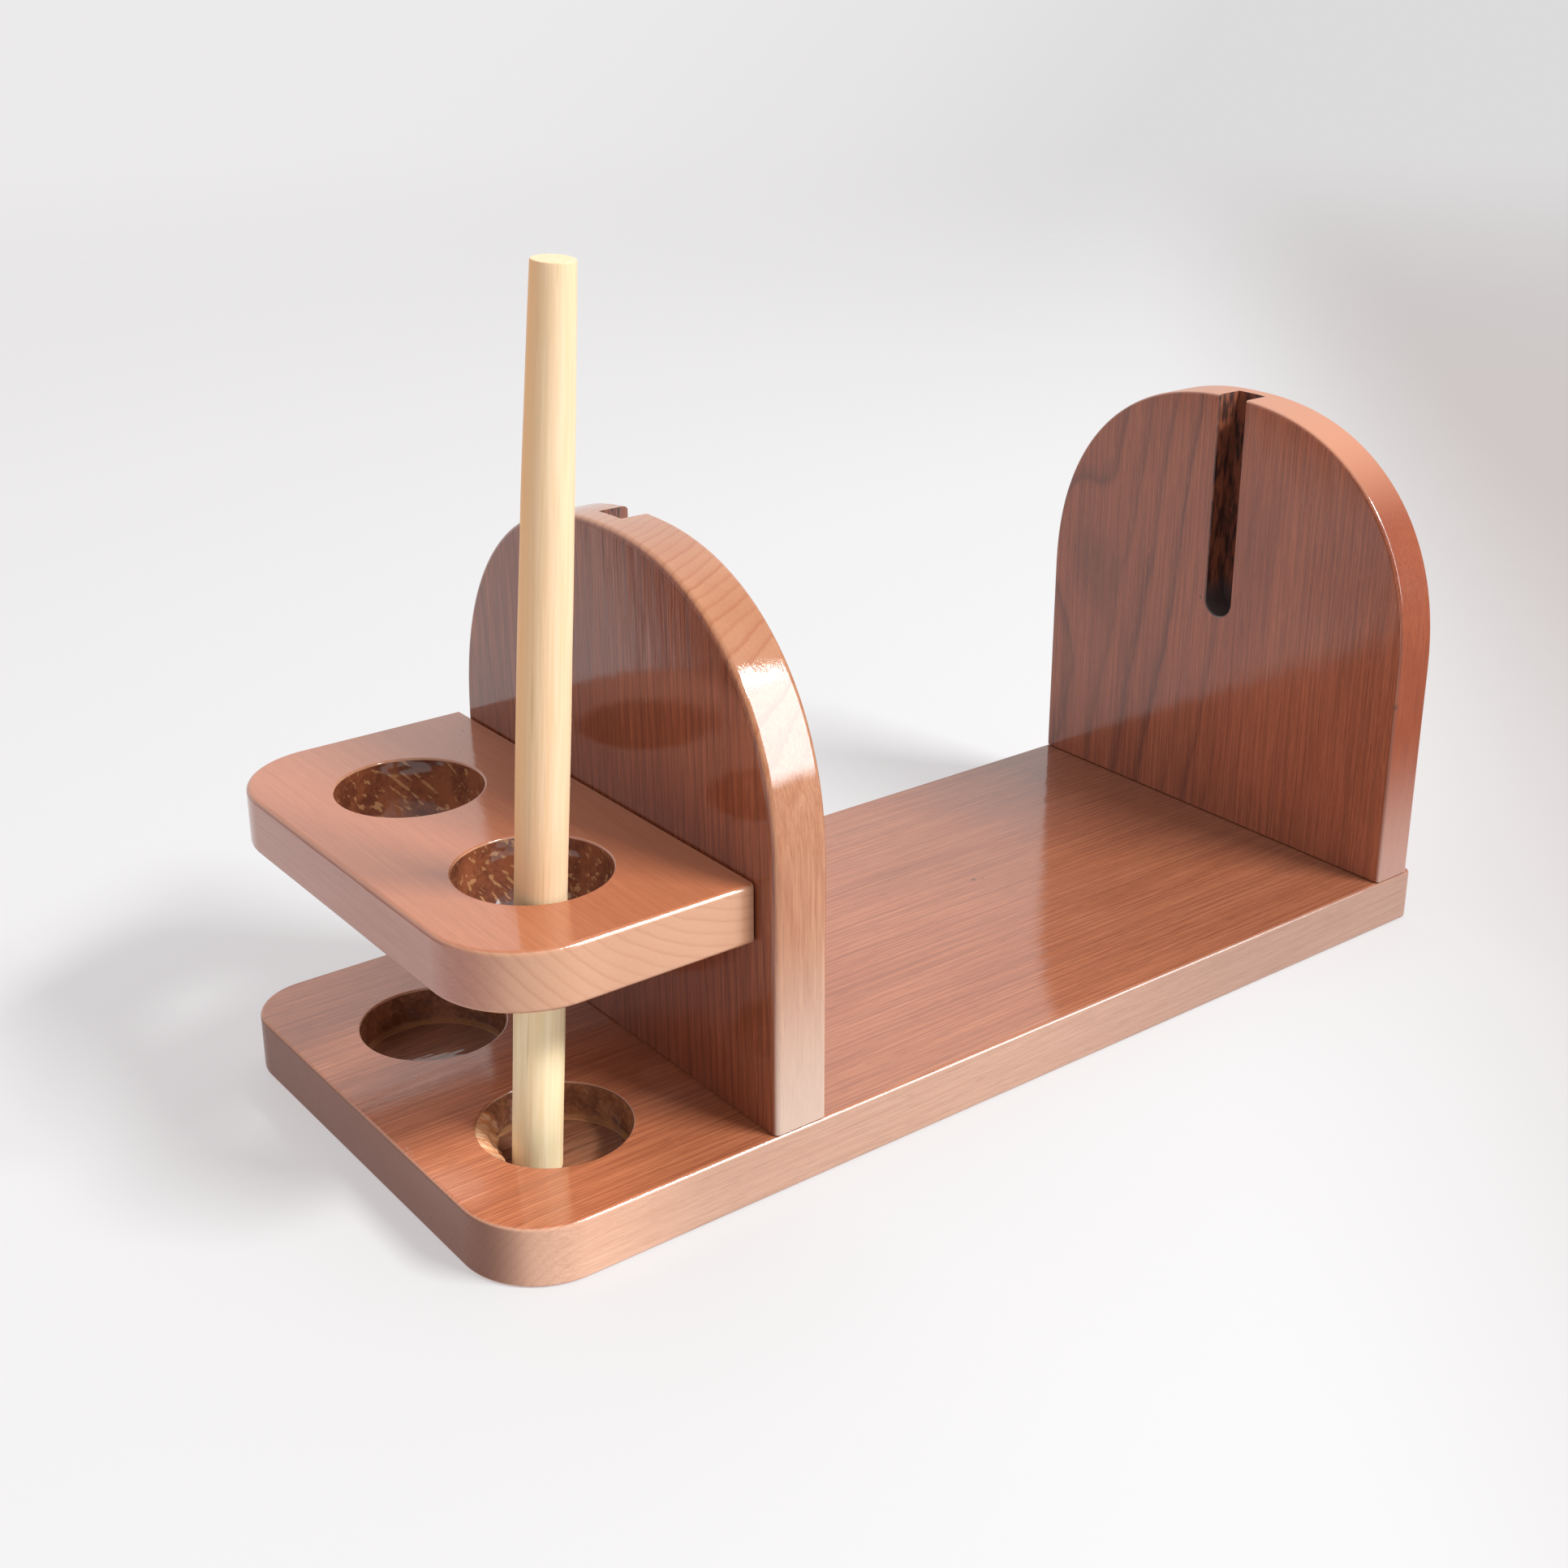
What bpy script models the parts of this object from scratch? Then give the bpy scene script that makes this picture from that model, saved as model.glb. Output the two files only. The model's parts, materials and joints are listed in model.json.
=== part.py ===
"""A lacquered hardwood stand: a long base board, two arched uprights with grooves for an axle, a shelf with
two round holes above two round recesses in the base, and a loose wooden axle rod.

Metres, +Z up. The origin is the centre of the base board's underside. +X runs along the base, from the
shelf's end to the far upright, and +Y runs across it, to the rear."""

import math

import bmesh
import bpy
from mathutils import Matrix, Vector

# Gap between pieces that touch, and how far a cutter runs past a face.
GAP = 0.0003
CUT_PAST = 0.002

# Boards.
WIDTH = 0.130
EDGE_ROUND = 0.0015
SQUARE_CORNER = 0.0022

BASE_LENGTH = 0.291
BASE_THICKNESS = 0.0145
BASE_FRONT_CORNER = 0.019
BASE_REAR_CORNER = 0.015

UPRIGHT_HEIGHT = 0.125
STRAIGHT_SIDE = 0.0595
CROWN_POWER = 2.27
NEAR_OUTER_X = -0.078
NEAR_THICKNESS = 0.0144
FAR_THICKNESS = 0.0128
FAR_SETBACK = 0.0027

SHELF_ABOVE_BASE = 0.0453
SHELF_THICKNESS = 0.0141
SHELF_DEPTH = 0.0659
SHELF_WIDTH = 0.1281
SHELF_CENTRE_Y = 0.0055
SHELF_CORNER = 0.022

# Round holes in the shelf and the recesses below them, from one drill.
WELL_RADIUS = 0.0175
WELL_SPACING = 0.056
SHELF_WELL_CENTRE = Vector((-0.1117, 0.0046))
BASE_WELL_CENTRE = Vector((-0.1131, -0.0021))
BASE_WELL_DEPTH = 0.0096

# Grooves that hold the axle's ends, open at the top, on the faces that look at each other.
GROOVE_WIDTH = 0.0094
GROOVE_DEPTH = 0.0082
GROOVE_FOOT = 0.061
NEAR_GROOVE_Y = 0.0044
FAR_GROOVE_Y = -0.0011

# The axle rod, standing in the front recess and leaning on the rim of the shelf's front hole.
ROD_LENGTH = 0.2008
ROD_RADIUS = 0.00567
ROD_TIP_RADIUS = 0.0045
ROD_CHAMFER = 0.0005
ROD_TAPER_START = 0.100
ROD_FOOT_OFFSET = Vector((-0.0049, 0.0))
ROD_LEAN = math.radians(3.8)
ROD_HEADING = math.radians(-60.7)

# Countersunk screws, up through the base into the uprights.
SCREW_SPREAD = 0.040
SCREW_LENGTH = 0.038
SCREW_HEAD_RADIUS = 0.0040
SCREW_HEAD_HEIGHT = 0.0026
SCREW_SHANK_RADIUS = 0.0021
SCREW_CORE_RADIUS = 0.0015
SCREW_SHANK_LENGTH = 0.014
SCREW_TIP_LENGTH = 0.004
SCREW_PITCH = 0.0020
SCREW_RECESS = 0.0012
SCREW_SLOT_WIDTH = 0.0010
SCREW_SLOT_LENGTH = 0.0042

# Dowel pins between the shelf and the near upright.
DOWEL_RADIUS = 0.0040
DOWEL_CHAMFER = 0.0008
DOWEL_FLUTE = 0.00025
DOWEL_FLUTES = 12
DOWEL_SPREAD = 0.040
DOWEL_IN_SHELF = 0.014
DOWEL_IN_UPRIGHT = 0.010

# Facets.
CORNER_STEPS = 12
EDGE_STEPS = 4
CROWN_STEPS = 56
WELL_STEPS = 64
ROD_STEPS = 32
SCREW_STEPS = 16

# Places worked out from the sizes above.
BASE_TOP = BASE_THICKNESS
NEAR_INNER_X = NEAR_OUTER_X + NEAR_THICKNESS
FAR_OUTER_X = BASE_LENGTH / 2 - FAR_SETBACK
FAR_INNER_X = FAR_OUTER_X - FAR_THICKNESS
SHELF_BOTTOM = BASE_TOP + SHELF_ABOVE_BASE
SHELF_MIDDLE = SHELF_BOTTOM + SHELF_THICKNESS / 2
SHELF_BUTT_X = NEAR_OUTER_X - GAP


def clear_scene():
    for obj in list(bpy.data.objects):
        bpy.data.objects.remove(obj)


def make_material(name, colour, roughness, metallic=0.0):
    material = bpy.data.materials.new(name)
    material.use_nodes = True
    shader = material.node_tree.nodes["Principled BSDF"]
    shader.inputs["Base Color"].default_value = (*colour, 1.0)
    shader.inputs["Roughness"].default_value = roughness
    shader.inputs["Metallic"].default_value = metallic
    material.diffuse_color = (*colour, 1.0)
    return material


def add_object(name, bm, material=None):
    bmesh.ops.recalc_face_normals(bm, faces=bm.faces)
    mesh = bpy.data.meshes.new(name)
    bm.to_mesh(mesh)
    bm.free()
    mesh.shade_smooth()
    mesh.set_sharp_from_angle(angle=math.radians(30))
    obj = bpy.data.objects.new(name, mesh)
    bpy.context.scene.collection.objects.link(obj)
    if material:
        mesh.materials.append(material)
    return obj


def cut(obj, cutter):
    """Takes the cutter's shape out of the object."""
    cutter.hide_render = True
    cutter.display_type = "WIRE"
    modifier = obj.modifiers.new(cutter.name, "BOOLEAN")
    modifier.operation = "DIFFERENCE"
    modifier.object = cutter


def loft(rings):
    """A closed solid through rings of points, each ring with the same number of points."""
    bm = bmesh.new()
    loops = [[bm.verts.new(p) for p in ring] for ring in rings]
    for low, high in zip(loops, loops[1:]):
        count = len(low)
        for i in range(count):
            j = (i + 1) % count
            bm.faces.new((low[i], low[j], high[j], high[i]))
    bm.faces.new(loops[0])
    bm.faces.new(loops[-1])
    return bm


def arc(centre, radius, start, end, steps=CORNER_STEPS):
    """Points along a round corner, with the angles in degrees."""
    points = []
    for i in range(steps + 1):
        angle = math.radians(start + (end - start) * i / steps)
        points.append(centre + radius * Vector((math.cos(angle), math.sin(angle))))
    return points


def edge_profile(thickness):
    """Pairs of height and inset for a board whose two long edges are rounded over."""
    quarter = [math.pi / 2 * i / EDGE_STEPS for i in range(EDGE_STEPS + 1)]
    low = [(EDGE_ROUND * (1 - math.cos(a)), EDGE_ROUND * (1 - math.sin(a))) for a in quarter]
    high = [(thickness - height, inset) for height, inset in reversed(low)]
    return low + high


def plan_outline(left, right, front, rear, corners, inset):
    """A rectangle's outline seen from above, with corners as (front left, front right, rear right, rear left)."""
    left, right, front, rear = left + inset, right - inset, front + inset, rear - inset
    a, b, c, d = (radius - inset for radius in corners)
    return (
        arc(Vector((left + a, front + a)), a, 180, 270)
        + arc(Vector((right - b, front + b)), b, 270, 360)
        + arc(Vector((right - c, rear - c)), c, 0, 90)
        + arc(Vector((left + d, rear - d)), d, 90, 180)
    )


def cylinder(name, radius, start, end, steps):
    """A round bar from one point to another, used as a cutter."""
    axis = end - start
    bm = bmesh.new()
    bmesh.ops.create_cone(
        bm, cap_ends=True, segments=steps, radius1=radius, radius2=radius, depth=axis.length
    )
    turn = axis.to_track_quat("Z", "Y").to_matrix().to_4x4()
    bmesh.ops.transform(bm, matrix=Matrix.Translation((start + end) / 2) @ turn, verts=bm.verts)
    return add_object(name, bm)


def turned(profile, steps, flutes=0, flute_depth=0.0):
    """A solid turned about +Z from (radius, height) pairs, whose surface can be fluted."""
    rings = []
    for radius, height in profile:
        ring = []
        for i in range(steps):
            angle = 2 * math.pi * i / steps
            groove = flute_depth * (0.5 - 0.5 * math.cos(flutes * angle))
            reach = radius - groove
            ring.append((reach * math.cos(angle), reach * math.sin(angle), height))
        rings.append(ring)
    return loft(rings)


def well_places(centre):
    """The front and rear hole centres either side of the given point."""
    step = Vector((0, WELL_SPACING / 2))
    return {"front": centre - step, "rear": centre + step}


def screw_places():
    """Where each screw's axis is, by name."""
    places = {}
    for end, x in (("near", NEAR_OUTER_X + NEAR_THICKNESS / 2), ("far", FAR_OUTER_X - FAR_THICKNESS / 2)):
        for side, y in (("front", -SCREW_SPREAD), ("rear", SCREW_SPREAD)):
            places[f"{end}_screw_{side}"] = Vector((x, y))
    return places


def dowel_places():
    """The height across the board of each dowel's axis, by name."""
    return {
        "shelf_dowel_front": SHELF_CENTRE_Y - DOWEL_SPREAD,
        "shelf_dowel_rear": SHELF_CENTRE_Y + DOWEL_SPREAD,
    }


def make_base(material):
    half = BASE_LENGTH / 2
    corners = (BASE_FRONT_CORNER, SQUARE_CORNER, SQUARE_CORNER, BASE_REAR_CORNER)
    rings = []
    for height, inset in edge_profile(BASE_THICKNESS):
        outline = plan_outline(-half, half, -WIDTH / 2, WIDTH / 2, corners, inset)
        rings.append([(p.x, p.y, height) for p in outline])
    base = add_object("base_board", loft(rings), material)
    for side, place in well_places(BASE_WELL_CENTRE).items():
        floor = Vector((place.x, place.y, BASE_TOP - BASE_WELL_DEPTH))
        mouth = Vector((place.x, place.y, BASE_TOP + CUT_PAST))
        cut(base, cylinder(f"cut_recess_{side}", WELL_RADIUS, floor, mouth, WELL_STEPS))
    for name, place in screw_places().items():
        cut(base, screw_hole(f"cut_{name}", place))
    return base


def screw_hole(name, place):
    """A clearance hole right through the base, with a countersink on its underside."""
    clearance = SCREW_SHANK_RADIUS + GAP
    mouth = SCREW_HEAD_RADIUS + 2 * GAP
    profile = [
        (mouth, -CUT_PAST),
        (mouth, GAP),
        (clearance, GAP + SCREW_HEAD_HEIGHT),
        (clearance, BASE_TOP + CUT_PAST),
    ]
    cutter = add_object(name, turned(profile, SCREW_STEPS * 2))
    cutter.location = (place.x, place.y, 0)
    return cutter


def upright_outline(inset):
    """Half-width and height of an upright's edge, from front foot over the crown to rear foot."""
    half = WIDTH / 2
    rise = UPRIGHT_HEIGHT - STRAIGHT_SIDE
    points = [Vector((-half, 0))]
    normals = [Vector((-1, 0))]
    for i in range(CROWN_STEPS + 1):
        angle = math.pi * i / CROWN_STEPS
        across, up = math.cos(angle), math.sin(angle)
        power = 2 / CROWN_POWER
        y = -half * math.copysign(abs(across) ** power, across)
        z = STRAIGHT_SIDE + rise * abs(up) ** power
        points.append(Vector((y, z)))
        steep = 2 - power
        slope = Vector((-math.copysign(abs(across) ** steep, across) / half, abs(up) ** steep / rise))
        normals.append(slope.normalized())
    points.append(Vector((half, 0)))
    normals.append(Vector((1, 0)))
    return [p - n * inset for p, n in zip(points, normals)]


def groove_cutter(name, centre_y, face_x, back_x):
    """A slot with a round foot, from past the inner face to the groove's back."""
    half = GROOVE_WIDTH / 2
    foot = Vector((centre_y, BASE_TOP + GROOVE_FOOT + half))
    top = BASE_TOP + UPRIGHT_HEIGHT + CUT_PAST
    outline = [Vector((centre_y - half, top))]
    outline += arc(foot, half, 180, 360)
    outline += [Vector((centre_y + half, top))]
    past = math.copysign(CUT_PAST, face_x - back_x)
    rings = [[(x, p.x, p.y) for p in outline] for x in sorted((face_x + past, back_x))]
    return add_object(name, loft(rings))


def make_upright(name, outer_x, inner_x, groove_y, material):
    """An arched board standing across the base, with its groove in the inner face."""
    left, right = sorted((outer_x, inner_x))
    rings = []
    for depth, inset in edge_profile(right - left):
        outline = upright_outline(inset)
        rings.append([(left + depth, p.x, BASE_TOP + max(p.y, GAP)) for p in outline])
    upright = add_object(name, loft(rings), material)
    back_x = inner_x + math.copysign(GROOVE_DEPTH, outer_x - inner_x)
    cut(upright, groove_cutter(f"cut_groove_{name}", groove_y, inner_x, back_x))
    end = name.split("_")[0]
    for screw, place in screw_places().items():
        if screw.startswith(end):
            foot = Vector((place.x, place.y, BASE_TOP - CUT_PAST))
            head = Vector((place.x, place.y, SCREW_LENGTH + 3 * GAP))
            pilot = SCREW_SHANK_RADIUS + GAP
            cut(upright, cylinder(f"cut_pilot_{screw}", pilot, foot, head, SCREW_STEPS * 2))
    return upright


def make_shelf(material):
    """The shelf, square where it butts against the upright and round at its two free corners."""
    front = SHELF_CENTRE_Y - SHELF_WIDTH / 2
    rear = SHELF_CENTRE_Y + SHELF_WIDTH / 2
    outer = NEAR_OUTER_X - SHELF_DEPTH
    rings = []
    for height, inset in edge_profile(SHELF_THICKNESS):
        radius = SHELF_CORNER - inset
        near_front = Vector((outer + inset + radius, front + inset + radius))
        near_rear = Vector((outer + inset + radius, rear - inset - radius))
        outline = [Vector((SHELF_BUTT_X, rear - inset))]
        outline += arc(near_rear, radius, 90, 180)
        outline += arc(near_front, radius, 180, 270)
        outline += [Vector((SHELF_BUTT_X, front + inset))]
        rings.append([(p.x, p.y, SHELF_BOTTOM + height) for p in outline])
    shelf = add_object("bottle_shelf", loft(rings), material)
    for side, place in well_places(SHELF_WELL_CENTRE).items():
        low = Vector((place.x, place.y, SHELF_BOTTOM - CUT_PAST))
        high = Vector((place.x, place.y, SHELF_BOTTOM + SHELF_THICKNESS + CUT_PAST))
        cut(shelf, cylinder(f"cut_hole_{side}", WELL_RADIUS, low, high, WELL_STEPS))
    return shelf


def cut_dowel_holes(shelf, upright):
    """Blind holes for the dowels, in the shelf's butt end and the upright's outer face."""
    radius = DOWEL_RADIUS + GAP
    for name, y in dowel_places().items():
        bottom = Vector((NEAR_OUTER_X - DOWEL_IN_SHELF - GAP, y, SHELF_MIDDLE))
        middle = Vector((NEAR_OUTER_X, y, SHELF_MIDDLE))
        top = Vector((NEAR_OUTER_X + DOWEL_IN_UPRIGHT + GAP, y, SHELF_MIDDLE))
        past = Vector((CUT_PAST, 0, 0))
        cut(shelf, cylinder(f"cut_{name}_shelf", radius, bottom, middle + past, SCREW_STEPS * 2))
        cut(upright, cylinder(f"cut_{name}_upright", radius, middle - past, top, SCREW_STEPS * 2))


def make_dowel(name, y, material):
    length = DOWEL_IN_SHELF + DOWEL_IN_UPRIGHT
    end = DOWEL_RADIUS - DOWEL_CHAMFER
    profile = [
        (end, 0),
        (DOWEL_RADIUS, DOWEL_CHAMFER),
        (DOWEL_RADIUS, length - DOWEL_CHAMFER),
        (end, length),
    ]
    bm = turned(profile, DOWEL_FLUTES * 4, DOWEL_FLUTES, DOWEL_FLUTE)
    dowel = add_object(name, bm, material)
    dowel.rotation_euler = (0, math.pi / 2, 0)
    dowel.location = (NEAR_OUTER_X - DOWEL_IN_SHELF, y, SHELF_MIDDLE)
    return dowel


def make_screw(name, place, material):
    """A countersunk wood screw, head down, with its thread as ridges and a cross recess in its head."""
    profile = [
        (SCREW_HEAD_RADIUS, 0),
        (SCREW_SHANK_RADIUS, SCREW_HEAD_HEIGHT),
        (SCREW_SHANK_RADIUS, SCREW_SHANK_LENGTH),
        (SCREW_CORE_RADIUS, SCREW_SHANK_LENGTH + SCREW_PITCH / 2),
    ]
    height = SCREW_SHANK_LENGTH + SCREW_PITCH
    while height < SCREW_LENGTH - SCREW_TIP_LENGTH:
        profile.append((SCREW_SHANK_RADIUS, height))
        profile.append((SCREW_CORE_RADIUS, height + SCREW_PITCH / 2))
        height += SCREW_PITCH
    profile.append((SCREW_CORE_RADIUS / 6, SCREW_LENGTH))
    screw = add_object(name, turned(profile, SCREW_STEPS), material)
    screw.location = (place.x, place.y, GAP)
    cross = cross_cutter(f"cut_cross_{name}")
    cross.parent = screw
    cut(screw, cross)
    return screw


def cross_cutter(name):
    """The cross recess as one twelve-sided prism."""
    long, short = SCREW_SLOT_LENGTH / 2, SCREW_SLOT_WIDTH / 2
    outline = []
    for turn in range(4):
        c, s = math.cos(turn * math.pi / 2), math.sin(turn * math.pi / 2)
        for x, y in ((short, -short), (long, -short), (long, short)):
            outline.append((c * x - s * y, s * x + c * y))
    rings = [[(x, y, z) for x, y in outline] for z in (-CUT_PAST, SCREW_RECESS)]
    return add_object(name, loft(rings))


def rod_radius(distance):
    """The rod's radius at a distance up from its foot: full at first, then falling ever faster to the tip."""
    along = max(0.0, (distance - ROD_TAPER_START) / (ROD_LENGTH - ROD_TAPER_START))
    return ROD_RADIUS - (ROD_RADIUS - ROD_TIP_RADIUS) * along**1.8


def make_rod(material):
    stations = 20
    profile = [(rod_radius(0) - ROD_CHAMFER, 0)]
    for i in range(stations + 1):
        height = ROD_CHAMFER + (ROD_LENGTH - 2 * ROD_CHAMFER) * i / stations
        profile.append((rod_radius(height), height))
    profile.append((rod_radius(ROD_LENGTH) - ROD_CHAMFER, ROD_LENGTH))
    rod = add_object("axle_rod", turned(profile, ROD_STEPS), material)
    place = well_places(BASE_WELL_CENTRE)["front"] + ROD_FOOT_OFFSET
    foot_z = BASE_TOP - BASE_WELL_DEPTH + GAP + ROD_RADIUS * math.sin(ROD_LEAN)
    rod.rotation_euler = (0, ROD_LEAN, ROD_HEADING)
    rod.location = (place.x, place.y, foot_z)
    return rod


def main():
    clear_scene()
    base_wood = make_material("base_wood", (0.42, 0.16, 0.08), 0.18)
    near_wood = make_material("near_wood", (0.24, 0.09, 0.05), 0.18)
    far_wood = make_material("far_wood", (0.22, 0.08, 0.05), 0.18)
    shelf_wood = make_material("shelf_wood", (0.44, 0.18, 0.09), 0.18)
    rod_wood = make_material("rod_wood", (0.82, 0.66, 0.36), 0.5)
    dowel_wood = make_material("dowel_wood", (0.72, 0.55, 0.34), 0.7)
    steel = make_material("screw_steel", (0.62, 0.61, 0.58), 0.3, 1.0)

    make_base(base_wood)
    near = make_upright("near_upright", NEAR_OUTER_X, NEAR_INNER_X, NEAR_GROOVE_Y, near_wood)
    make_upright("far_upright", FAR_OUTER_X, FAR_INNER_X, FAR_GROOVE_Y, far_wood)
    shelf = make_shelf(shelf_wood)
    cut_dowel_holes(shelf, near)
    for name, y in dowel_places().items():
        make_dowel(name, y, dowel_wood)
    for name, place in screw_places().items():
        make_screw(name, place, steel)
    make_rod(rod_wood)
    bpy.context.view_layer.update()


main()
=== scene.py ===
"""The looks of a lacquered hardwood stand: boards and rod in fine detail, wood grain, light and camera.

Metres, in the object's frame: +X runs along the base from the shelf's end, +Y to the rear and +Z up.
Inside the materials, places are in millimetres."""

import json
import math

import bmesh
import bpy
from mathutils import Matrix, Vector, noise


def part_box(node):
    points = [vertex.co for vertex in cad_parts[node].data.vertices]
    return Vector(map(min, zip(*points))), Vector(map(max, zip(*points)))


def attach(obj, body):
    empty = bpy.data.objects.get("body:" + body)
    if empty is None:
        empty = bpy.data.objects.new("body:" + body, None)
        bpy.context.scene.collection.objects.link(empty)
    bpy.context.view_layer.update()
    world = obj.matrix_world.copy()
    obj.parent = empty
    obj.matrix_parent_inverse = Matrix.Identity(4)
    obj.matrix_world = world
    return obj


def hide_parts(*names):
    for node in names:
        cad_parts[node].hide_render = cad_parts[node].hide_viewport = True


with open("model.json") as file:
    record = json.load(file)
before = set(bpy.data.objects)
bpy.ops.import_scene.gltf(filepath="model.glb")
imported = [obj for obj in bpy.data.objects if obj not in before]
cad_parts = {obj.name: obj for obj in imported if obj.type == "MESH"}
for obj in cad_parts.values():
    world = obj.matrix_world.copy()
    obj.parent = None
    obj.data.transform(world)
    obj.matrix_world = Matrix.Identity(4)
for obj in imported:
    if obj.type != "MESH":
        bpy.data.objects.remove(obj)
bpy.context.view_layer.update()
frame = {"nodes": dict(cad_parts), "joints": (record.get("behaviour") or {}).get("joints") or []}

# Places read from the frame.
BASE_LOW, BASE_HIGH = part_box("base_board")
NEAR_LOW, NEAR_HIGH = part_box("near_upright")
FAR_LOW, FAR_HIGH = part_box("far_upright")
SHELF_LOW, SHELF_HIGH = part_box("bottle_shelf")
ROD_AXIS = Vector(frame["joints"][0]["axis"]).normalized()
BASE_TOP = BASE_HIGH.z

# Board shapes.
GAP = 0.0003
CUT_PAST = 0.002
BASE_ROUND = 0.0009
SHELF_ROUND = 0.0012
NEAR_ROUND = 0.0016
FAR_ROUND = 0.0010
SQUARE_CORNER = 0.0022
BASE_FRONT_CORNER = 0.019
BASE_REAR_CORNER = 0.015
SHELF_CORNER = 0.022
SHELF_BUTT_CORNER = 0.0009
STRAIGHT_SIDE = 0.0595
CROWN_POWER = 2.27
BUTT_EASE = 0.7
FLAT_ANGLE = math.radians(32)

# Round holes in the shelf and the recesses in the base.
WELL_RADIUS = 0.0175
WELL_SPACING = 0.056
WELL_LIP = 0.0005
WELL_TAPER = 0.0014
WELL_LEAN = Vector((-0.0011, -0.0015))
WELL_LEAN_POWER = 2.6
SHELF_WELL_CENTRE = Vector((-0.1117, 0.0046))
BASE_WELL_CENTRE = Vector((-0.1131, -0.0021))
BASE_WELL_DEPTH = 0.0096
WELL_FLOOR = BASE_TOP - BASE_WELL_DEPTH
SPUR_WIDTH = 0.0009
SPUR_DEPTH = 0.0003
WALL_RIPPLE = 0.00009
RIPPLE_AROUND = 4.0
RIPPLE_UP = 700.0
RIPPLE_BETWEEN_HOLES = 300.0
TORN_HEADING = math.radians(158)
TORN_SPREAD = math.radians(58)
TORN_REACH = 0.0050
TORN_PATCH = 0.011
TORN_RIDGES = Vector((5.0, 6.0, 0.0))
TORN_LEDGE_POWER = 0.6
TORN_EVENNESS = 0.9
TORN_UNEVENNESS = 0.35

# Grooves for the axle's ends.
GROOVE_WIDTH = 0.0094
GROOVE_DEPTH = 0.0082
GROOVE_FOOT = 0.061
GROOVE_LIP = 0.0003
NEAR_GROOVE_Y = 0.0044
FAR_GROOVE_Y = -0.0011

# The rod.
ROD_LENGTH = 0.2008
ROD_RADIUS = 0.00567
ROD_TIP_RADIUS = 0.0045
ROD_CHAMFER = 0.0005
ROD_TAPER_START = 0.100
ROD_TAPER_POWER = 1.8
ROD_FOOT_OFFSET = Vector((-0.0049, 0.0))
ROD_BEND = 0.00035
ROD_BEND_SIDE = Vector((-0.795, 0.606, 0.0))
ROD_EASED_STEP = 0.35
ROD_LUMP = 0.00007
ROD_LUMP_PEAK = 0.6
ROD_LUMPS_AROUND = 1.3
ROD_LUMPS_ALONG = 45.0

# Holes for the screws and dowels inside the boards.
SCREW_SPREAD = 0.040
SCREW_LENGTH = 0.038
SCREW_HEAD_RADIUS = 0.0040
SCREW_HEAD_HEIGHT = 0.0026
SCREW_SHANK_RADIUS = 0.0021
DOWEL_RADIUS = 0.0040
DOWEL_SPREAD = 0.040
DOWEL_IN_SHELF = 0.014
DOWEL_IN_UPRIGHT = 0.010

# Facets.
CORNER_STEPS = 32
EDGE_STEPS = 8
CROWN_STEPS = 160
WELL_STEPS = 128
WALL_STEPS = 14
ROD_STEPS = 64
ROD_STATIONS = 80
PIN_STEPS = 32

# Camera, as it stood in front of the object.
CAMERA_PLACE = Vector((-0.31385, -0.37771, 0.26639))
CAMERA_HEADING = 0.652
CAMERA_PITCH = -0.359
CAMERA_ROLL = 0.002
CAMERA_LENS = 47.73
CAMERA_SENSOR = 36.0
CAMERA_SHIFT_Y = -0.06

# Light.
KEY_HEADING = math.radians(29)
KEY_HEIGHT = math.radians(44)
KEY_DISTANCE = 2.4
KEY_WIDTH = 0.9
KEY_TALL = 0.3
KEY_COLOUR = (1.0, 0.985, 0.965)
KEY_POWER = 71.0
WINDOW_HEADING = math.radians(36)
WINDOW_HEIGHT = math.radians(22)
WINDOW_DISTANCE = 3.0
WINDOW_HALF_WIDTH = math.radians(14)
WINDOW_HALF_HEIGHT = math.radians(21)
WINDOW_RADIANCE = 11.0
WINDOW_SOFT_EDGE = 0.15
WINDOW_COLOUR = (0.82, 0.93, 1.0)
LAMP_AIM = 0.06
SKY_LOW = 0.28
SKY_HORIZON = 0.72
SKY_OVERHEAD = 0.34
SKY_BACKDROP = 0.56
SKY_COLOUR = (1.0, 0.985, 0.99)
HORIZON_HEIGHT = 0.3
OVERHEAD_HEIGHT = 0.8
BACKDROP_SIDE = (0.15, 0.92, 0.35)
BACKDROP_REACH = (0.3, 0.88)
FLOOR_COLOUR = (0.33, 0.348, 0.351)
FLOOR_GLOW = 0.425
FLOOR_GLOW_COLOUR = (1.0, 0.935, 0.945)
FLOOR_FADE = (0.4, 2.2)
DIM_ALONG = (1.0, -1.0, 0.0)
DIM_REACH = (0.12, 0.42)
DIM_TONE = (0.64, 0.59, 0.58)
FLOOR_RADIUS = 3.6
FLOOR_RINGS = 12
FLOOR_SIDES = 96
FLAG_CORNERS = ((-0.232, 0.14), (-0.232, 0.19), (-0.40, 0.52), (-0.90, 0.52), (-0.90, 0.14))
FLAG_HEIGHT = 0.001
FLAG_COLOUR = (0.035, 0.028, 0.025)

MM = 1000.0
WHITE = (1.0, 1.0, 1.0)


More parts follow.
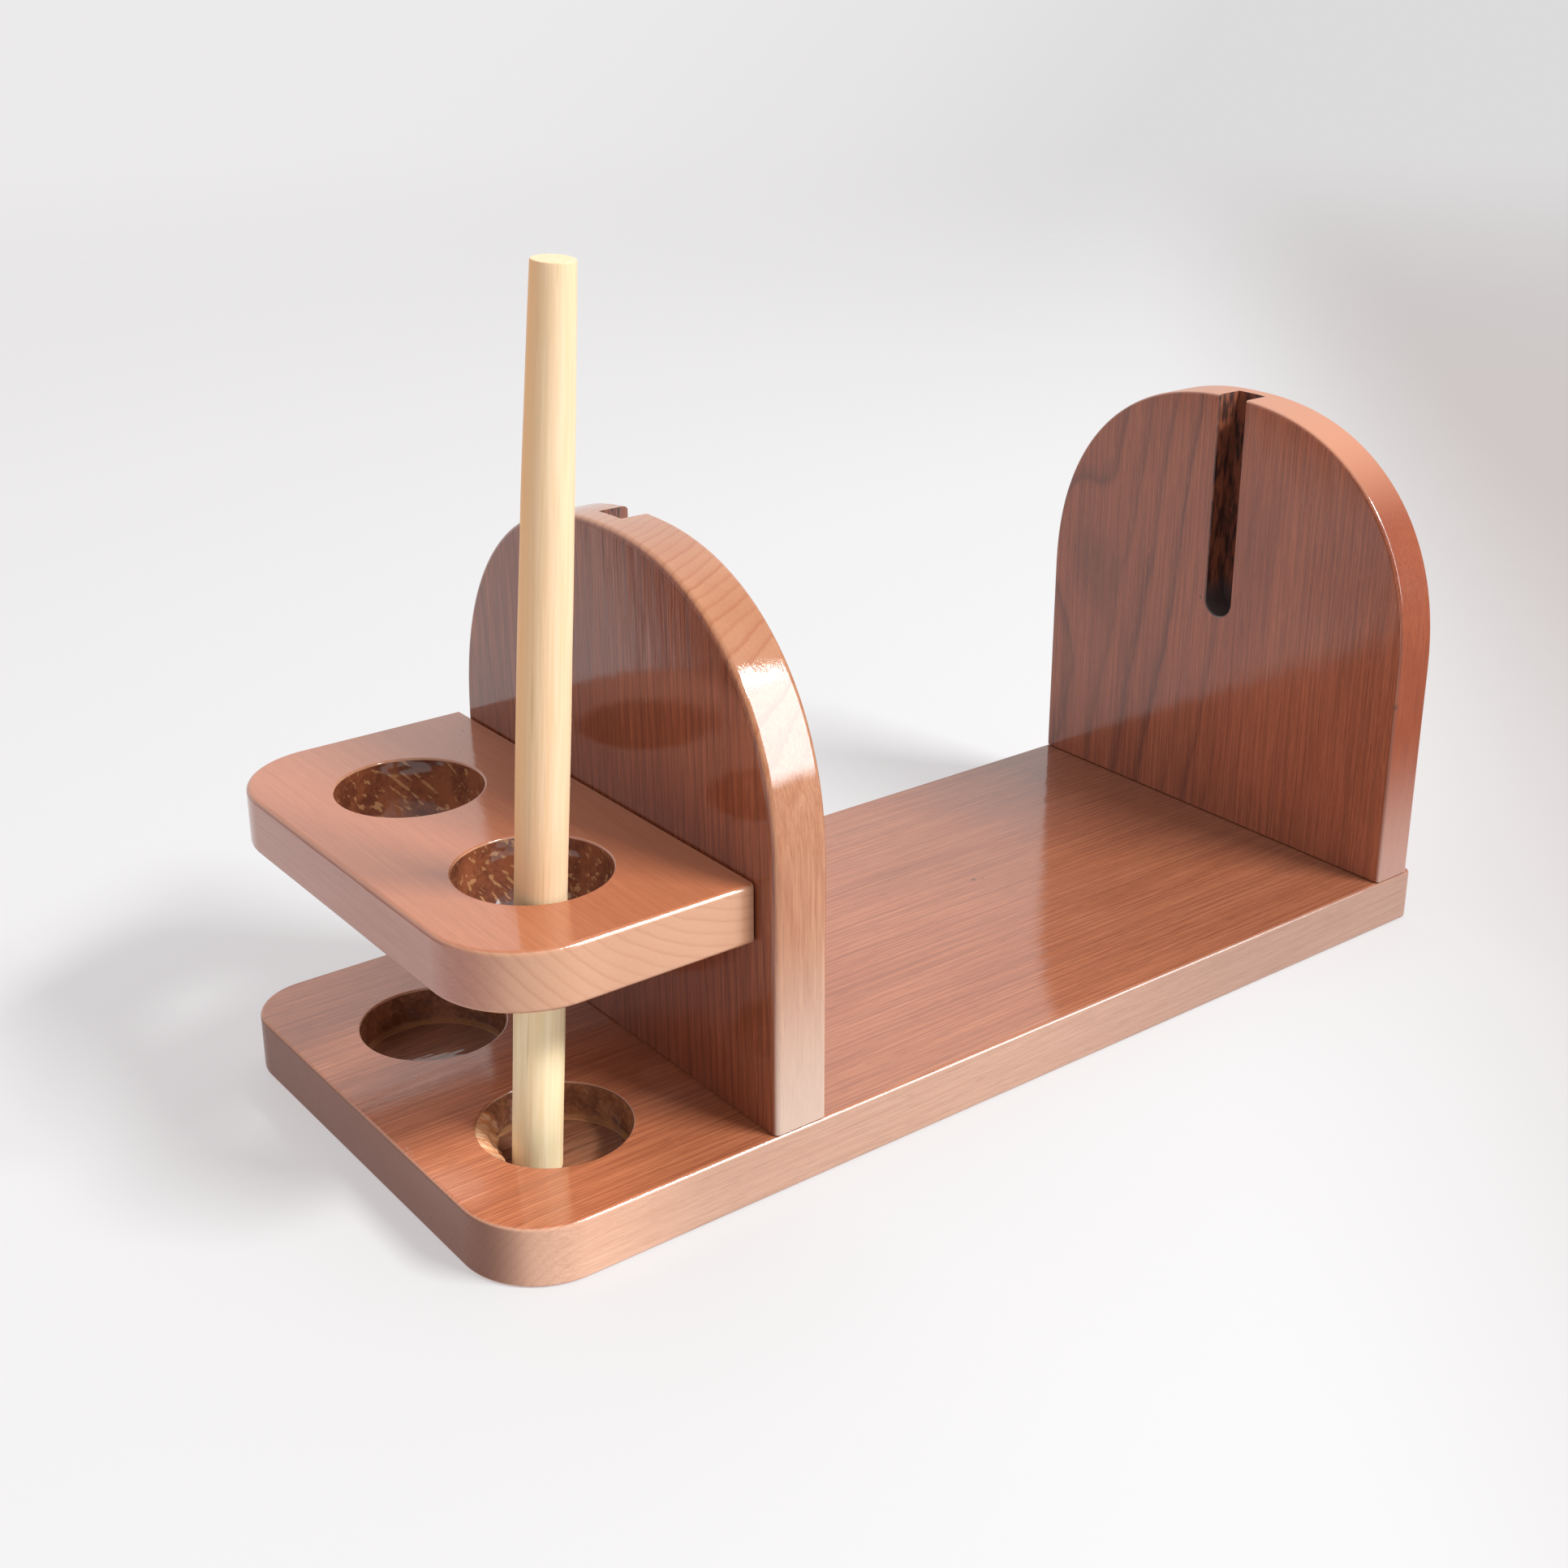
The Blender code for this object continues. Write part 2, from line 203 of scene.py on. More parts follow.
class Nodes:
    """A node tree whose nodes are made and linked in a line each."""

    def __init__(self, tree):
        self.tree = tree

    def add(self, kind, inputs, **settings):
        node = self.tree.nodes.new("ShaderNode" + kind)
        for key, value in settings.items():
            setattr(node, key, value)
        for key, value in inputs.items():
            self.put(node.inputs[key], value)
        return node

    def put(self, socket, value):
        if isinstance(value, bpy.types.NodeSocket):
            self.tree.links.new(value, socket)
        else:
            socket.default_value = value

    def math(self, operation, a, b=0.0, c=0.0):
        return self.add("Math", {0: a, 1: b, 2: c}, operation=operation).outputs[0]

    def range(self, value, low, high, to_low=0.0, to_high=1.0):
        """The value eased from one range into another, and held at its ends."""
        inputs = {0: value, 1: low, 2: high, 3: to_low, 4: to_high}
        return self.add("MapRange", inputs, interpolation_type="SMOOTHSTEP").outputs[0]

    def mix(self, factor, a, b):
        a = (*a, 1.0) if isinstance(a, tuple) and len(a) == 3 else a
        b = (*b, 1.0) if isinstance(b, tuple) and len(b) == 3 else b
        node = self.add("Mix", {}, data_type="RGBA")
        for index, value in ((0, factor), (6, a), (7, b)):
            self.put(node.inputs[index], value)
        return node.outputs[2]

    def tint(self, colour, by):
        node = self.add("Mix", {}, data_type="RGBA", blend_type="MULTIPLY")
        for index, value in ((0, 1.0), (6, colour), (7, by)):
            self.put(node.inputs[index], value)
        return node.outputs[2]

    def stretch(self, place, scale, shift=0.0):
        """The point scaled along each axis, for a noise that differs with each shift."""
        inputs = {"Vector": place, "Scale": scale, "Location": (shift, shift * 1.7, shift * 2.3)}
        return self.add("Mapping", inputs).outputs[0]

    def turned(self, place, along):
        """The point as distances along a direction and two others square to it."""
        along = Vector(along).normalized()
        across = along.orthogonal().normalized()
        return self.join(*[self.dot(place, side) for side in (along, across, along.cross(across))])

    def dot(self, vector, along):
        node = self.add("VectorMath", {0: vector, 1: tuple(along)}, operation="DOT_PRODUCT")
        return node.outputs["Value"]

    def distance(self, place, point):
        node = self.add("VectorMath", {0: place, 1: tuple(point)}, operation="DISTANCE")
        return node.outputs["Value"]

    def length(self, vector):
        return self.add("VectorMath", {0: vector}, operation="LENGTH").outputs["Value"]

    def noise(self, place, detail=2.0, roughness=0.5):
        inputs = {"Vector": place, "Scale": 1.0, "Detail": detail, "Roughness": roughness}
        return self.add("TexNoise", inputs).outputs[0]

    def streaks(self, place, seed, rates, low, high, detail=2.0, roughness=0.5):
        """Noise drawn out along the first axis, its rates per millimetre as (along, across)."""
        along, across = rates
        stretched = self.stretch(place, (along, across, across), seed)
        return self.range(self.noise(stretched, detail, roughness), low, high)

    def curve(self, value, points):
        """A value bent through (position, height) points."""
        node = self.add("ValToRGB", {0: value})
        ramp = node.color_ramp
        while len(ramp.elements) < len(points):
            ramp.elements.new(0.5)
        for element, (position, height) in zip(ramp.elements, points):
            element.position = position
            element.color = (height, height, height, 1.0)
        return node.outputs[0]

    def split(self, vector):
        return self.add("SeparateXYZ", {0: vector}).outputs

    def join(self, x, y, z):
        return self.add("CombineXYZ", {0: x, 1: y, 2: z}).outputs[0]

    def bump(self, height, distance):
        inputs = {"Height": height, "Distance": distance, "Strength": 1.0}
        return self.add("Bump", inputs).outputs[0]

    def object_place(self):
        """The point on the surface, in millimetres."""
        coordinates = self.add("TexCoord", {}).outputs["Object"]
        return self.add("VectorMath", {0: coordinates, 3: MM}, operation="SCALE").outputs[0]


class Shader(Nodes):
    """One material's nodes, around its Principled shader."""

    def __init__(self, name):
        self.material = bpy.data.materials.new(name)
        self.material.use_nodes = True
        super().__init__(self.material.node_tree)
        self.surface = self.tree.nodes["Principled BSDF"]

    def set(self, **inputs):
        for key, value in inputs.items():
            self.put(self.surface.inputs[key.replace("_", " ")], value)


# What the wood materials share, with lengths in millimetres.
LACQUER = {"Roughness": 0.5, "Specular_IOR_Level": 0.12, "Coat_IOR": 1.61}
RING_TONES = ((0.0, 0.2), (0.12, 0.0), (0.64, 0.17), (0.91, 1.0), (1.0, 0.2))
RING_QUICK_WARP = 0.3
YEAR_NOISE_STEP = 3.71
KNOT_STRETCH = 0.55
CLOUD_SHARE = 0.35
END_CALM = 0.75
SPECK_COLOUR = (0.03, 0.015, 0.01)
PALE_FOOT_BAND = (1.7, 0.5)
TORN_RAGGED = 6.0
TORN_BLEND = (4.0, 2.0)
TORN_RELIEF = 5.0
# Painted shade in a groove: where it starts and where it is full, above the foot.
FOOT_SHADE_BAND = (12.0, 4.0)
FOOT_TINT_BAND = (80.0, 50.0)
# The rod's painted shade on its side away from the light: where it starts and is full, and how strong.
PAINTED_SHADE_BAND = (20.0, 110.0)
PAINTED_SHADE_STRENGTH = 0.9
GRAIN_ORDER = {"X": (0, 1, 2), "Y": (1, 0, 2), "Z": (2, 1, 0)}


def grain_place(shader, place, grain):
    """The point as (along the grain, across, through)."""
    parts = shader.split(place)
    return [parts[i] for i in GRAIN_ORDER[grain]]


def growth_rings(shader, along, across, through, local, wood):
    """0 in the pale early wood and 1 in the dark late wood of each year's ring."""
    slow = shader.noise(shader.stretch(local, (0.009, 0.035, 0.035), wood["seed"]))
    quick = shader.noise(shader.stretch(local, (0.035, 0.16, 0.16), wood["seed"] + 5))
    slow, quick = [shader.math("SUBTRACT", part, 0.5) for part in (slow, quick)]
    warp = shader.math("MULTIPLY", slow, wood["warp"])
    warp = shader.math("MULTIPLY_ADD", quick, wood["warp"] * RING_QUICK_WARP, warp)
    sides = []
    for part, pith, lean in zip((across, through), wood["pith"], wood["lean"]):
        line = shader.math("MULTIPLY_ADD", along, lean, pith)
        away = shader.math("ABSOLUTE", shader.math("SUBTRACT", part, line))
        sides.append(shader.math("POWER", away, 2.0))
    radius = shader.math("SQRT", shader.math("ADD", *sides))
    radius = shader.math("ADD", radius, warp)
    for point, reach, push in wood.get("knots", ()):
        radius = shader.math("ADD", radius, knot(shader, along, across, point, reach, push))
    years = shader.math("DIVIDE", radius, wood["spacing"])
    dark = shader.curve(shader.math("FRACT", years), RING_TONES)
    year = shader.math("MULTIPLY", shader.math("FLOOR", years), YEAR_NOISE_STEP)
    strength = shader.add("TexNoise", {"W": year, "Scale": 1.0}, noise_dimensions="1D").outputs[0]
    return shader.math("MULTIPLY", dark, shader.range(strength, 0.3, 0.7, 0.45, 1.0))


def knot(shader, along, across, point, reach, push):
    """How far a knot at (along, across) pushes the rings aside, in millimetres."""
    x = shader.math("MULTIPLY", shader.math("SUBTRACT", along, point[0] * MM), KNOT_STRETCH)
    y = shader.math("SUBTRACT", across, point[1] * MM)
    return shader.range(shader.length(shader.join(x, y, 0.0)), reach * MM, 0.0, 0.0, push * MM)


def facing(shader, wood):
    """How squarely the surface faces each axis, and how far it is a board's face or its end grain."""
    normals = shader.split(shader.add("NewGeometry", {}).outputs["Normal"])
    towards = {axis: shader.math("ABSOLUTE", normal) for axis, normal in zip("XYZ", normals)}
    on_face = shader.range(towards[wood["face"]], 0.55, 0.95)
    on_end = shader.range(towards[wood["grain"]], 0.2, 0.85)
    return towards, on_face, on_end


def painted_light_and_shade(shader, place, towards, on_face, wood, colour):
    """The board's colour with painted light and shade: sheens going up, shade square to X, ramps along
    X.
    """
    # Painted sheen: a paler tone over the edges going up or down, standing in for reflected light.
    for start, full, hue in wood.get("painted_sheens", ()):
        sheen = shader.range(shader.split(place)[2], start * MM, full * MM, 0.0, 0.8)
        sheen = shader.math("MULTIPLY", sheen, shader.math("SUBTRACT", 1.0, on_face))
        colour = shader.mix(sheen, colour, hue)
    # Painted shade on the faces square to X; on the base it also stands for the end grain's deeper
    # stain.
    if "x_painted_shade" in wood:
        shade = shader.mix(shader.range(towards["X"], 0.55, 0.98), WHITE, wood["x_painted_shade"])
        colour = shader.tint(colour, shade)
    # Painted light and shade ramped along X: the base lighter at its left end, darker further on.
    for start, full, hue in wood.get("ramped", ()):
        amount = shader.range(shader.split(place)[0], start * MM, full * MM)
        colour = shader.tint(colour, shader.mix(amount, WHITE, hue))
    return colour


def lacquered_wood(name, wood, specks=()):
    """A clear-lacquered board: growth rings, fibres, pores and flecks, solid through the board."""
    shader = Shader(name)
    place = shader.object_place()
    along, across, through = grain_place(shader, place, wood["grain"])
    local = shader.join(along, across, through)
    rings = growth_rings(shader, along, across, through, local, wood)
    towards, on_face, on_end = facing(shader, wood)
    dark, light, ring = [
        shader.mix(on_face, edge, face) for edge, face in zip(wood["edge_tones"], wood["face_tones"])
    ]

    seed = wood["seed"]
    fibres = shader.streaks(local, seed + 11, (0.05, 1.9), 0.32, 0.68, 4.0, 0.62)
    cloud = shader.streaks(local, seed + 17, (0.012, 0.045), 0.3, 0.7)
    pores = shader.streaks(local, seed + 23, (0.14, 4.2), 0.6, 0.7, 1.0)
    flecks = shader.streaks(local, seed + 31, (0.2, 3.1), 0.63, 0.74, 1.0)
    comb = shader.streaks(local, seed + 53, (0.016, wood["comb_rate"]), 0.44, 0.60, 2.0, 0.4)

    calm = shader.math("MULTIPLY_ADD", on_end, -END_CALM, 1.0)
    tone = shader.math("MULTIPLY_ADD", shader.math("SUBTRACT", fibres, 0.5), calm, 0.5)
    cloudy = shader.math("MULTIPLY", cloud, CLOUD_SHARE)
    tone = shader.math("MULTIPLY_ADD", tone, 1.0 - CLOUD_SHARE, cloudy)
    colour = shader.mix(tone, dark, light)

    flat_rings = wood["ring_strength"]
    strong = shader.math("MULTIPLY_ADD", on_end, wood["end_rings"] - flat_rings, flat_rings)
    if "ring_fade" in wood:
        low, high = wood["ring_fade"]
        fade = shader.range(across, low * MM, high * MM, 0.18, 1.0)
        strong = shader.math("MULTIPLY", strong, fade)
    colour = shader.mix(shader.math("MULTIPLY", rings, strong), colour, ring)
    comb = shader.math("MULTIPLY", shader.math("MULTIPLY", comb, calm), wood["comb_strength"])
    comb = shader.math("MULTIPLY", comb, shader.range(on_face, 0.0, 1.0, 0.4, 1.0))
    colour = shader.mix(comb, colour, ring)
    pores = shader.math("MULTIPLY", pores, calm)
    colour = shader.mix(shader.math("MULTIPLY", pores, wood["pore_strength"]), colour, ring)
    colour = shader.mix(shader.math("MULTIPLY", flecks, wood["fleck_strength"]), colour, light)
    colour = painted_light_and_shade(shader, place, towards, on_face, wood, colour)
    for point, radius, strength in specks:
        colour = speck(shader, place, point, radius, strength, colour)

    gloss = shader.range(on_end, 0.0, 1.0, 1.0, wood.get("end_gloss", 1.0))
    off_rim = shader.range(towards[wood["face"]], 0.05, 0.3, wood.get("rim_gloss", 1.0), 1.0)
    relief = shader.math("SUBTRACT", shader.math("MULTIPLY", fibres, 0.5), pores)
    swell = shader.noise(shader.stretch(local, (0.03, 0.11, 0.11), seed + 41))
    waves = shader.math("MULTIPLY_ADD", fibres, 0.05, swell)
    shader.set(
        **LACQUER,
        Base_Color=colour,
        Coat_Weight=shader.math("MULTIPLY", gloss, off_rim),
        Coat_Roughness=wood.get("gloss_blur", 0.045),
        Normal=shader.bump(relief, 0.00003),
        Coat_Normal=shader.bump(waves, 0.0001),
    )
    return shader.material


def speck(shader, place, point, radius, strength, colour):
    """A small dark pin mark or knot, given in metres."""
    distance = shader.distance(place, Vector(point) * MM)
    return shader.mix(shader.range(distance, radius * MM, 0.0, 0.0, strength), colour, SPECK_COLOUR)


def drilled_wood(name, tones, slant, flecking, seed, foot=None, torn=None):
    """A drilled hole's lacquered wall: slanting flecks, a paler foot and a patch of torn fibres in
    painted light.
    """
    shader = Shader(name)
    place = shader.object_place()
    slanted = shader.turned(place, slant)
    flecks = shader.noise(shader.stretch(slanted, (0.2, 0.75, 0.75), seed), 2.0, 0.5)
    flecks = shader.range(flecks, 0.59, 0.65, 0.0, flecking)
    mottle = shader.noise(shader.stretch(place, (0.13, 0.13, 0.13), seed + 3), 3.0)
    grit = shader.noise(shader.stretch(place, (0.9, 0.9, 0.9), seed + 6), 3.0)
    tone = shader.math("MULTIPLY_ADD", grit, 0.3, shader.math("MULTIPLY", mottle, 0.7))
    colour = shader.mix(shader.range(tone, 0.38, 0.62), tones[0], tones[1])
    colour = shader.mix(flecks, colour, tones[2])
    if foot is not None:
        band = [foot * MM + above for above in PALE_FOOT_BAND]
        pale = shader.range(shader.split(place)[2], *band, 0.0, 0.5)
        colour = shader.mix(pale, colour, tones[2])
    swell = shader.noise(shader.stretch(slanted, (0.06, 0.16, 0.16), seed + 9), 2.0)
    relief = grit
    if torn is not None:
        fibres = shader.noise(shader.stretch(slanted, (0.12, 1.1, 1.1), seed + 15), 3.0, 0.6)
        centre, reach = torn
        away = shader.distance(place, centre * MM)
        away = shader.math("MULTIPLY_ADD", mottle, TORN_RAGGED, away)
        bare = shader.range(away, *[reach * MM + past for past in TORN_BLEND])
        # The torn fibres are pale bare wood with painted light, as if the sun fell on them.
        painted_lit_splinters = shader.mix(shader.range(fibres, 0.36, 0.6), TORN_PAINTED_LIGHT_TONES[0], TORN_PAINTED_LIGHT_TONES[1])
        colour = shader.mix(bare, colour, painted_lit_splinters)
        relief = shader.math("MULTIPLY_ADD", shader.math("MULTIPLY", fibres, bare), TORN_RELIEF, grit)
    shader.set(
        **LACQUER,
        Base_Color=colour,
        Coat_Weight=1.0,
        Coat_Roughness=0.07,
        Normal=shader.bump(relief, 0.00006),
        Coat_Normal=shader.bump(swell, 0.00014),
    )
    return shader.material


def recess_floor(name, tones, seed):
    """The floor of a recess, with the board's fibres and darker patches."""
    shader = Shader(name)
    place = shader.object_place()
    fibres = shader.streaks(place, seed, (0.05, 1.1), 0.35, 0.65, 3.0, 0.6)
    mottle = shader.noise(shader.stretch(place, (0.12, 0.2, 0.2), seed + 3), 3.0)
    colour = shader.mix(fibres, tones[0], tones[1])
    colour = shader.mix(shader.range(mottle, 0.45, 0.7, 0.0, 0.6), colour, tones[2])
    swell = shader.noise(shader.stretch(place, (0.09, 0.25, 0.25), seed + 8), 2.0)
    shader.set(
        **LACQUER,
        Base_Color=colour,
        Coat_Weight=1.0,
        Coat_Roughness=0.08,
        Normal=shader.bump(fibres, 0.00005),
        Coat_Normal=shader.bump(swell, 0.0002),
    )
    return shader.material


def groove_wood(name, foot_z, seed):
    """Wood with a dark stain inside a groove, and painted shade that makes it nearly black at its foot.
    """
    shader = Shader(name)
    place = shader.object_place()
    mottle = shader.noise(shader.stretch(place, (0.5, 0.35, 0.12), seed), 3.0, 0.6)
    streak = shader.noise(shader.stretch(place, (1.6, 1.6, 0.05), seed + 4), 2.0)
    dark, light, streaked, foot_shade_tone = GROOVE_TONES
    colour = shader.mix(shader.range(mottle, 0.38, 0.6), dark, light)
    colour = shader.mix(shader.range(streak, 0.55, 0.7, 0.0, 0.6), colour, streaked)
    # Painted shade: towards the foot the colour turns to a dark greyish tone.
    height = shader.split(place)[2]
    foot_shade = shader.range(height, *[foot_z * MM + above for above in FOOT_SHADE_BAND], 0.0, 0.85)
    colour = shader.mix(foot_shade, colour, foot_shade_tone)
    shader.set(
        Base_Color=colour,
        Roughness=0.5,
        Coat_Weight=0.7,
        Coat_Roughness=0.15,
        Coat_IOR=1.5,
        Normal=shader.bump(streak, 0.0001),
    )
    return shader.material


def bare_wood(name, tones, grain, seed, streak_strength, painted_shade_side=None, foot_tint=WHITE):
    """Pale wood with no lacquer: smooth fibres along the grain, streaks, thin dark lines, painted
    shade.
    """
    shader = Shader(name)
    place = shader.turned(shader.object_place(), grain)
    fibres = shader.streaks(place, seed, (0.04, 1.3), 0.3, 0.7, 3.0)
    streaks = shader.noise(shader.stretch(place, (0.012, 0.2, 0.2), seed + 7), 2.0)
    lines = shader.noise(shader.stretch(place, (0.022, 0.9, 0.9), seed + 13), 1.0)
    colour = shader.mix(fibres, tones[0], tones[1])
    colour = shader.mix(shader.range(streaks, 0.54, 0.70, 0.0, streak_strength), colour, tones[2])
    colour = shader.mix(shader.range(lines, 0.70, 0.78, 0.0, 0.45), colour, tones[3])
    # Painted shade on the side turned to painted_shade_side, in the tan streak tone, more so higher up.
    if painted_shade_side is not None:
        turned_to = shader.dot(shader.add("NewGeometry", {}).outputs["Normal"], painted_shade_side)
        height = shader.split(place)[0]
        below = shader.range(height, *FOOT_TINT_BAND)
        colour = shader.tint(colour, shader.mix(below, WHITE, foot_tint))
        above = shader.range(height, *PAINTED_SHADE_BAND)
        amount = shader.range(turned_to, 0.0, 0.95, 0.0, PAINTED_SHADE_STRENGTH)
        amount = shader.math("MULTIPLY", amount, above)
        colour = shader.mix(amount, colour, tones[2])
    shader.set(
        Base_Color=colour,
        Roughness=shader.range(fibres, 0.0, 1.0, 0.5, 0.6),
        Specular_IOR_Level=0.3,
        Normal=shader.bump(fibres, 0.00002),
    )
    return shader.material


def screw_steel(name):
    """Zinc-plated steel with fine turning marks."""
    shader = Shader(name)
    place = shader.object_place()
    marks = shader.noise(shader.stretch(place, (0.8, 0.8, 9.0), 2.0), 3.0)
    patches = shader.noise(shader.stretch(place, (0.5, 0.5, 0.5), 6.0), 3.0)
    shader.set(
        Base_Color=shader.mix(shader.range(patches, 0.35, 0.65), *STEEL_TONES),
        Metallic=1.0,
        Roughness=shader.range(marks, 0.3, 0.7, 0.22, 0.42),
        Normal=shader.bump(marks, 0.00002),
    )
    return shader.material


def link(obj):
    bpy.context.scene.collection.objects.link(obj)
    return obj


def make_object(name, bm, materials):
    bmesh.ops.recalc_face_normals(bm, faces=bm.faces)
    mesh = bpy.data.meshes.new(name)
    bm.to_mesh(mesh)
    bm.free()
    for material in materials:
        mesh.materials.append(material)
    return link(bpy.data.objects.new(name, mesh))


def settle(obj, body, node):
    """Smooth shading that keeps the flat faces flat, and the piece's place in the frame."""
    obj.data.shade_smooth()
    obj.data.set_sharp_from_angle(angle=FLAT_ANGLE)
    modifier = obj.modifiers.new("flat_faces", "WEIGHTED_NORMAL")
    modifier.weight = 100
    modifier.keep_sharp = True
    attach(obj, body)
    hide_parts(node)
    return obj


def carve(obj, cutters):
    """Takes the cutters' shapes out of the object for good."""
    for cutter in cutters:
        modifier = obj.modifiers.new(cutter.name, "BOOLEAN")
        modifier.operation = "DIFFERENCE"
        modifier.object = cutter
    bpy.context.view_layer.update()
    evaluated = obj.evaluated_get(bpy.context.evaluated_depsgraph_get())
    carved = bpy.data.meshes.new_from_object(evaluated)
    obj.modifiers.clear()
    obj.data = carved
    for cutter in cutters:
        bpy.data.objects.remove(cutter)


def add_ring(bm, points):
    return [bm.verts.new(p) for p in points]


def skin(bm, low, high, material=0):
    count = len(low)
    for i in range(count):
        j = (i + 1) % count
        face = bm.faces.new((low[i], low[j], high[j], high[i]))
        face.material_index = material


def skin_all(bm, loops, material=0):
    for low, high in zip(loops, loops[1:]):
        skin(bm, low, high, material)


def fill(bm, loops, material=0):
    """A flat face inside the first loop, with the other loops as holes in it."""
    edges = []
    for loop in loops:
        for a, b in zip(loop, loop[1:] + loop[:1]):
            edges.append(bm.edges.get((a, b)) or bm.edges.new((a, b)))
    made = bmesh.ops.triangle_fill(bm, edges=edges, use_beauty=True)
    for item in made["geom"]:
        if isinstance(item, bmesh.types.BMFace):
            item.material_index = material


def arc(centre, radius, start, end):
    """Points along a round corner, with the angles in degrees."""
    points = []
    for i in range(CORNER_STEPS + 1):
        angle = math.radians(start + (end - start) * i / CORNER_STEPS)
        points.append(centre + radius * Vector((math.cos(angle), math.sin(angle))))
    return points


def edge_profile(thickness, radius):
    """Pairs of height and inset for a board whose two long edges are rounded over."""
    quarter = [math.pi / 2 * i / EDGE_STEPS for i in range(EDGE_STEPS + 1)]
    low = [(radius * (1 - math.cos(a)), radius * (1 - math.sin(a))) for a in quarter]
    high = [(thickness - height, inset) for height, inset in reversed(low)]
    return low + high


def plan_outline(low, high, corners, inset):
    """A rectangle from above, its corners as (front left, front right, rear right, rear left)."""
    left, right, front, rear = low.x + inset, high.x - inset, low.y + inset, high.y - inset
    a, b, c, d = (max(radius - inset, 0.0001) for radius in corners)
    return (
        arc(Vector((left + a, front + a)), a, 180, 270)
        + arc(Vector((right - b, front + b)), b, 270, 360)
        + arc(Vector((right - c, rear - c)), c, 0, 90)
        + arc(Vector((left + d, rear - d)), d, 90, 180)
    )


def well_places(centre):
    step = Vector((0, WELL_SPACING / 2))
    return [centre - step, centre + step]


def torn_bulge(angle, depth):
    """How far splintered wood stands in from a recess's wall, at a depth of 0 to 1."""
    aside = (angle - TORN_HEADING) / TORN_SPREAD
    if abs(aside) >= 1 or not 0 < depth < 1:
        return 0.0
    ridges = noise.noise(Vector((angle * TORN_RIDGES.x, depth * TORN_RIDGES.y, 0.0)))
    ledge = math.sin(math.pi * depth) ** TORN_LEDGE_POWER
    return TORN_REACH * (1 - aside**2) * ledge * (TORN_EVENNESS + TORN_UNEVENNESS * ridges)


def round_ring(place, radius, height, steps=WELL_STEPS, ripple=0.0, torn=None):
    """A ring of points about a vertical axis, which can wander a little as a drilled wall does."""
    points = []
    for i in range(steps):
        angle = 2 * math.pi * i / steps
        around = Vector((math.cos(angle), math.sin(angle), 0))
        spot = Vector((around.x * RIPPLE_AROUND, around.y * RIPPLE_AROUND, height * RIPPLE_UP))
        spot += Vector((place.x, place.y, 0)) * RIPPLE_BETWEEN_HOLES
        reach = radius + ripple * noise.noise(spot)
        if torn is not None:
            reach -= torn_bulge(angle, torn)
        points.append((place.x + reach * around.x, place.y + reach * around.y, height))
    return points


def wall_rings(bm, place, top, bottom, taper=0.0, lean=Vector((0.0, 0.0)), torn=False):
    """The rings of a drilled wall from its rounded lip down, drawn in and to one side near its foot."""
    loops = []
    for i in range(EDGE_STEPS + 1):
        angle = math.pi / 2 * i / EDGE_STEPS
        radius = WELL_RADIUS + WELL_LIP * (1 - math.sin(angle))
        height = top - WELL_LIP * (1 - math.cos(angle))
        loops.append(add_ring(bm, round_ring(place, radius, height)))
    for i in range(1, WALL_STEPS + 1):
        height = top - WELL_LIP + (bottom - top + WELL_LIP) * i / WALL_STEPS
        ripple = WALL_RIPPLE if i < WALL_STEPS else 0.0
        drawn_in = (i / WALL_STEPS) ** WELL_LEAN_POWER
        depth = i / WALL_STEPS if torn else None
        radius = WELL_RADIUS - taper * drawn_in
        ring = round_ring(place + lean * drawn_in, radius, height, ripple=ripple, torn=depth)
        loops.append(add_ring(bm, ring))
    return loops


def screw_places():
    """Each screw's axis, with the upright that it goes into."""
    places = []
    for low, high in ((NEAR_LOW, NEAR_HIGH), (FAR_LOW, FAR_HIGH)):
        for y in (-SCREW_SPREAD, SCREW_SPREAD):
            places.append(Vector(((low.x + high.x) / 2, y)))
    return places


def make_base(materials):
    bm = bmesh.new()
    corners = (BASE_FRONT_CORNER, SQUARE_CORNER, SQUARE_CORNER, BASE_REAR_CORNER)
    sides = []
    for height, inset in edge_profile(BASE_TOP - BASE_LOW.z, BASE_ROUND):
        outline = plan_outline(BASE_LOW, BASE_HIGH, corners, inset)
        sides.append(add_ring(bm, [(p.x, p.y, height) for p in outline]))
    skin_all(bm, sides)
    bottom, top = [sides[0]], [sides[-1]]

    for place in well_places(BASE_WELL_CENTRE):
        wall = wall_rings(bm, place, BASE_TOP, WELL_FLOOR, torn=place.y < BASE_WELL_CENTRE.y)
        top.append(wall[0])
        skin_all(bm, wall[: EDGE_STEPS + 1], 0)
        skin_all(bm, wall[EDGE_STEPS:], 1)
        spur = []
        for inset, depth in ((0, SPUR_DEPTH), (SPUR_WIDTH / 2, SPUR_DEPTH), (SPUR_WIDTH, 0)):
            spur.append(add_ring(bm, round_ring(place, WELL_RADIUS - inset, WELL_FLOOR - depth)))
        skin_all(bm, [wall[-1]] + spur, 1)
        fill(bm, [spur[-1]], 2)

    mouth, clearance = SCREW_HEAD_RADIUS + 2 * GAP, SCREW_SHANK_RADIUS + GAP
    for place in screw_places():
        head_end = GAP + SCREW_HEAD_HEIGHT
        profile = ((mouth, 0), (mouth, GAP), (clearance, head_end), (clearance, BASE_TOP))
        hole = [add_ring(bm, round_ring(place, r, height, PIN_STEPS)) for r, height in profile]
        skin_all(bm, hole, 1)
        bottom.append(hole[0])
        top.append(hole[-1])
    fill(bm, bottom)
    fill(bm, top)
    return settle(make_object("base_board_wood", bm, materials), "stand", "base_board")


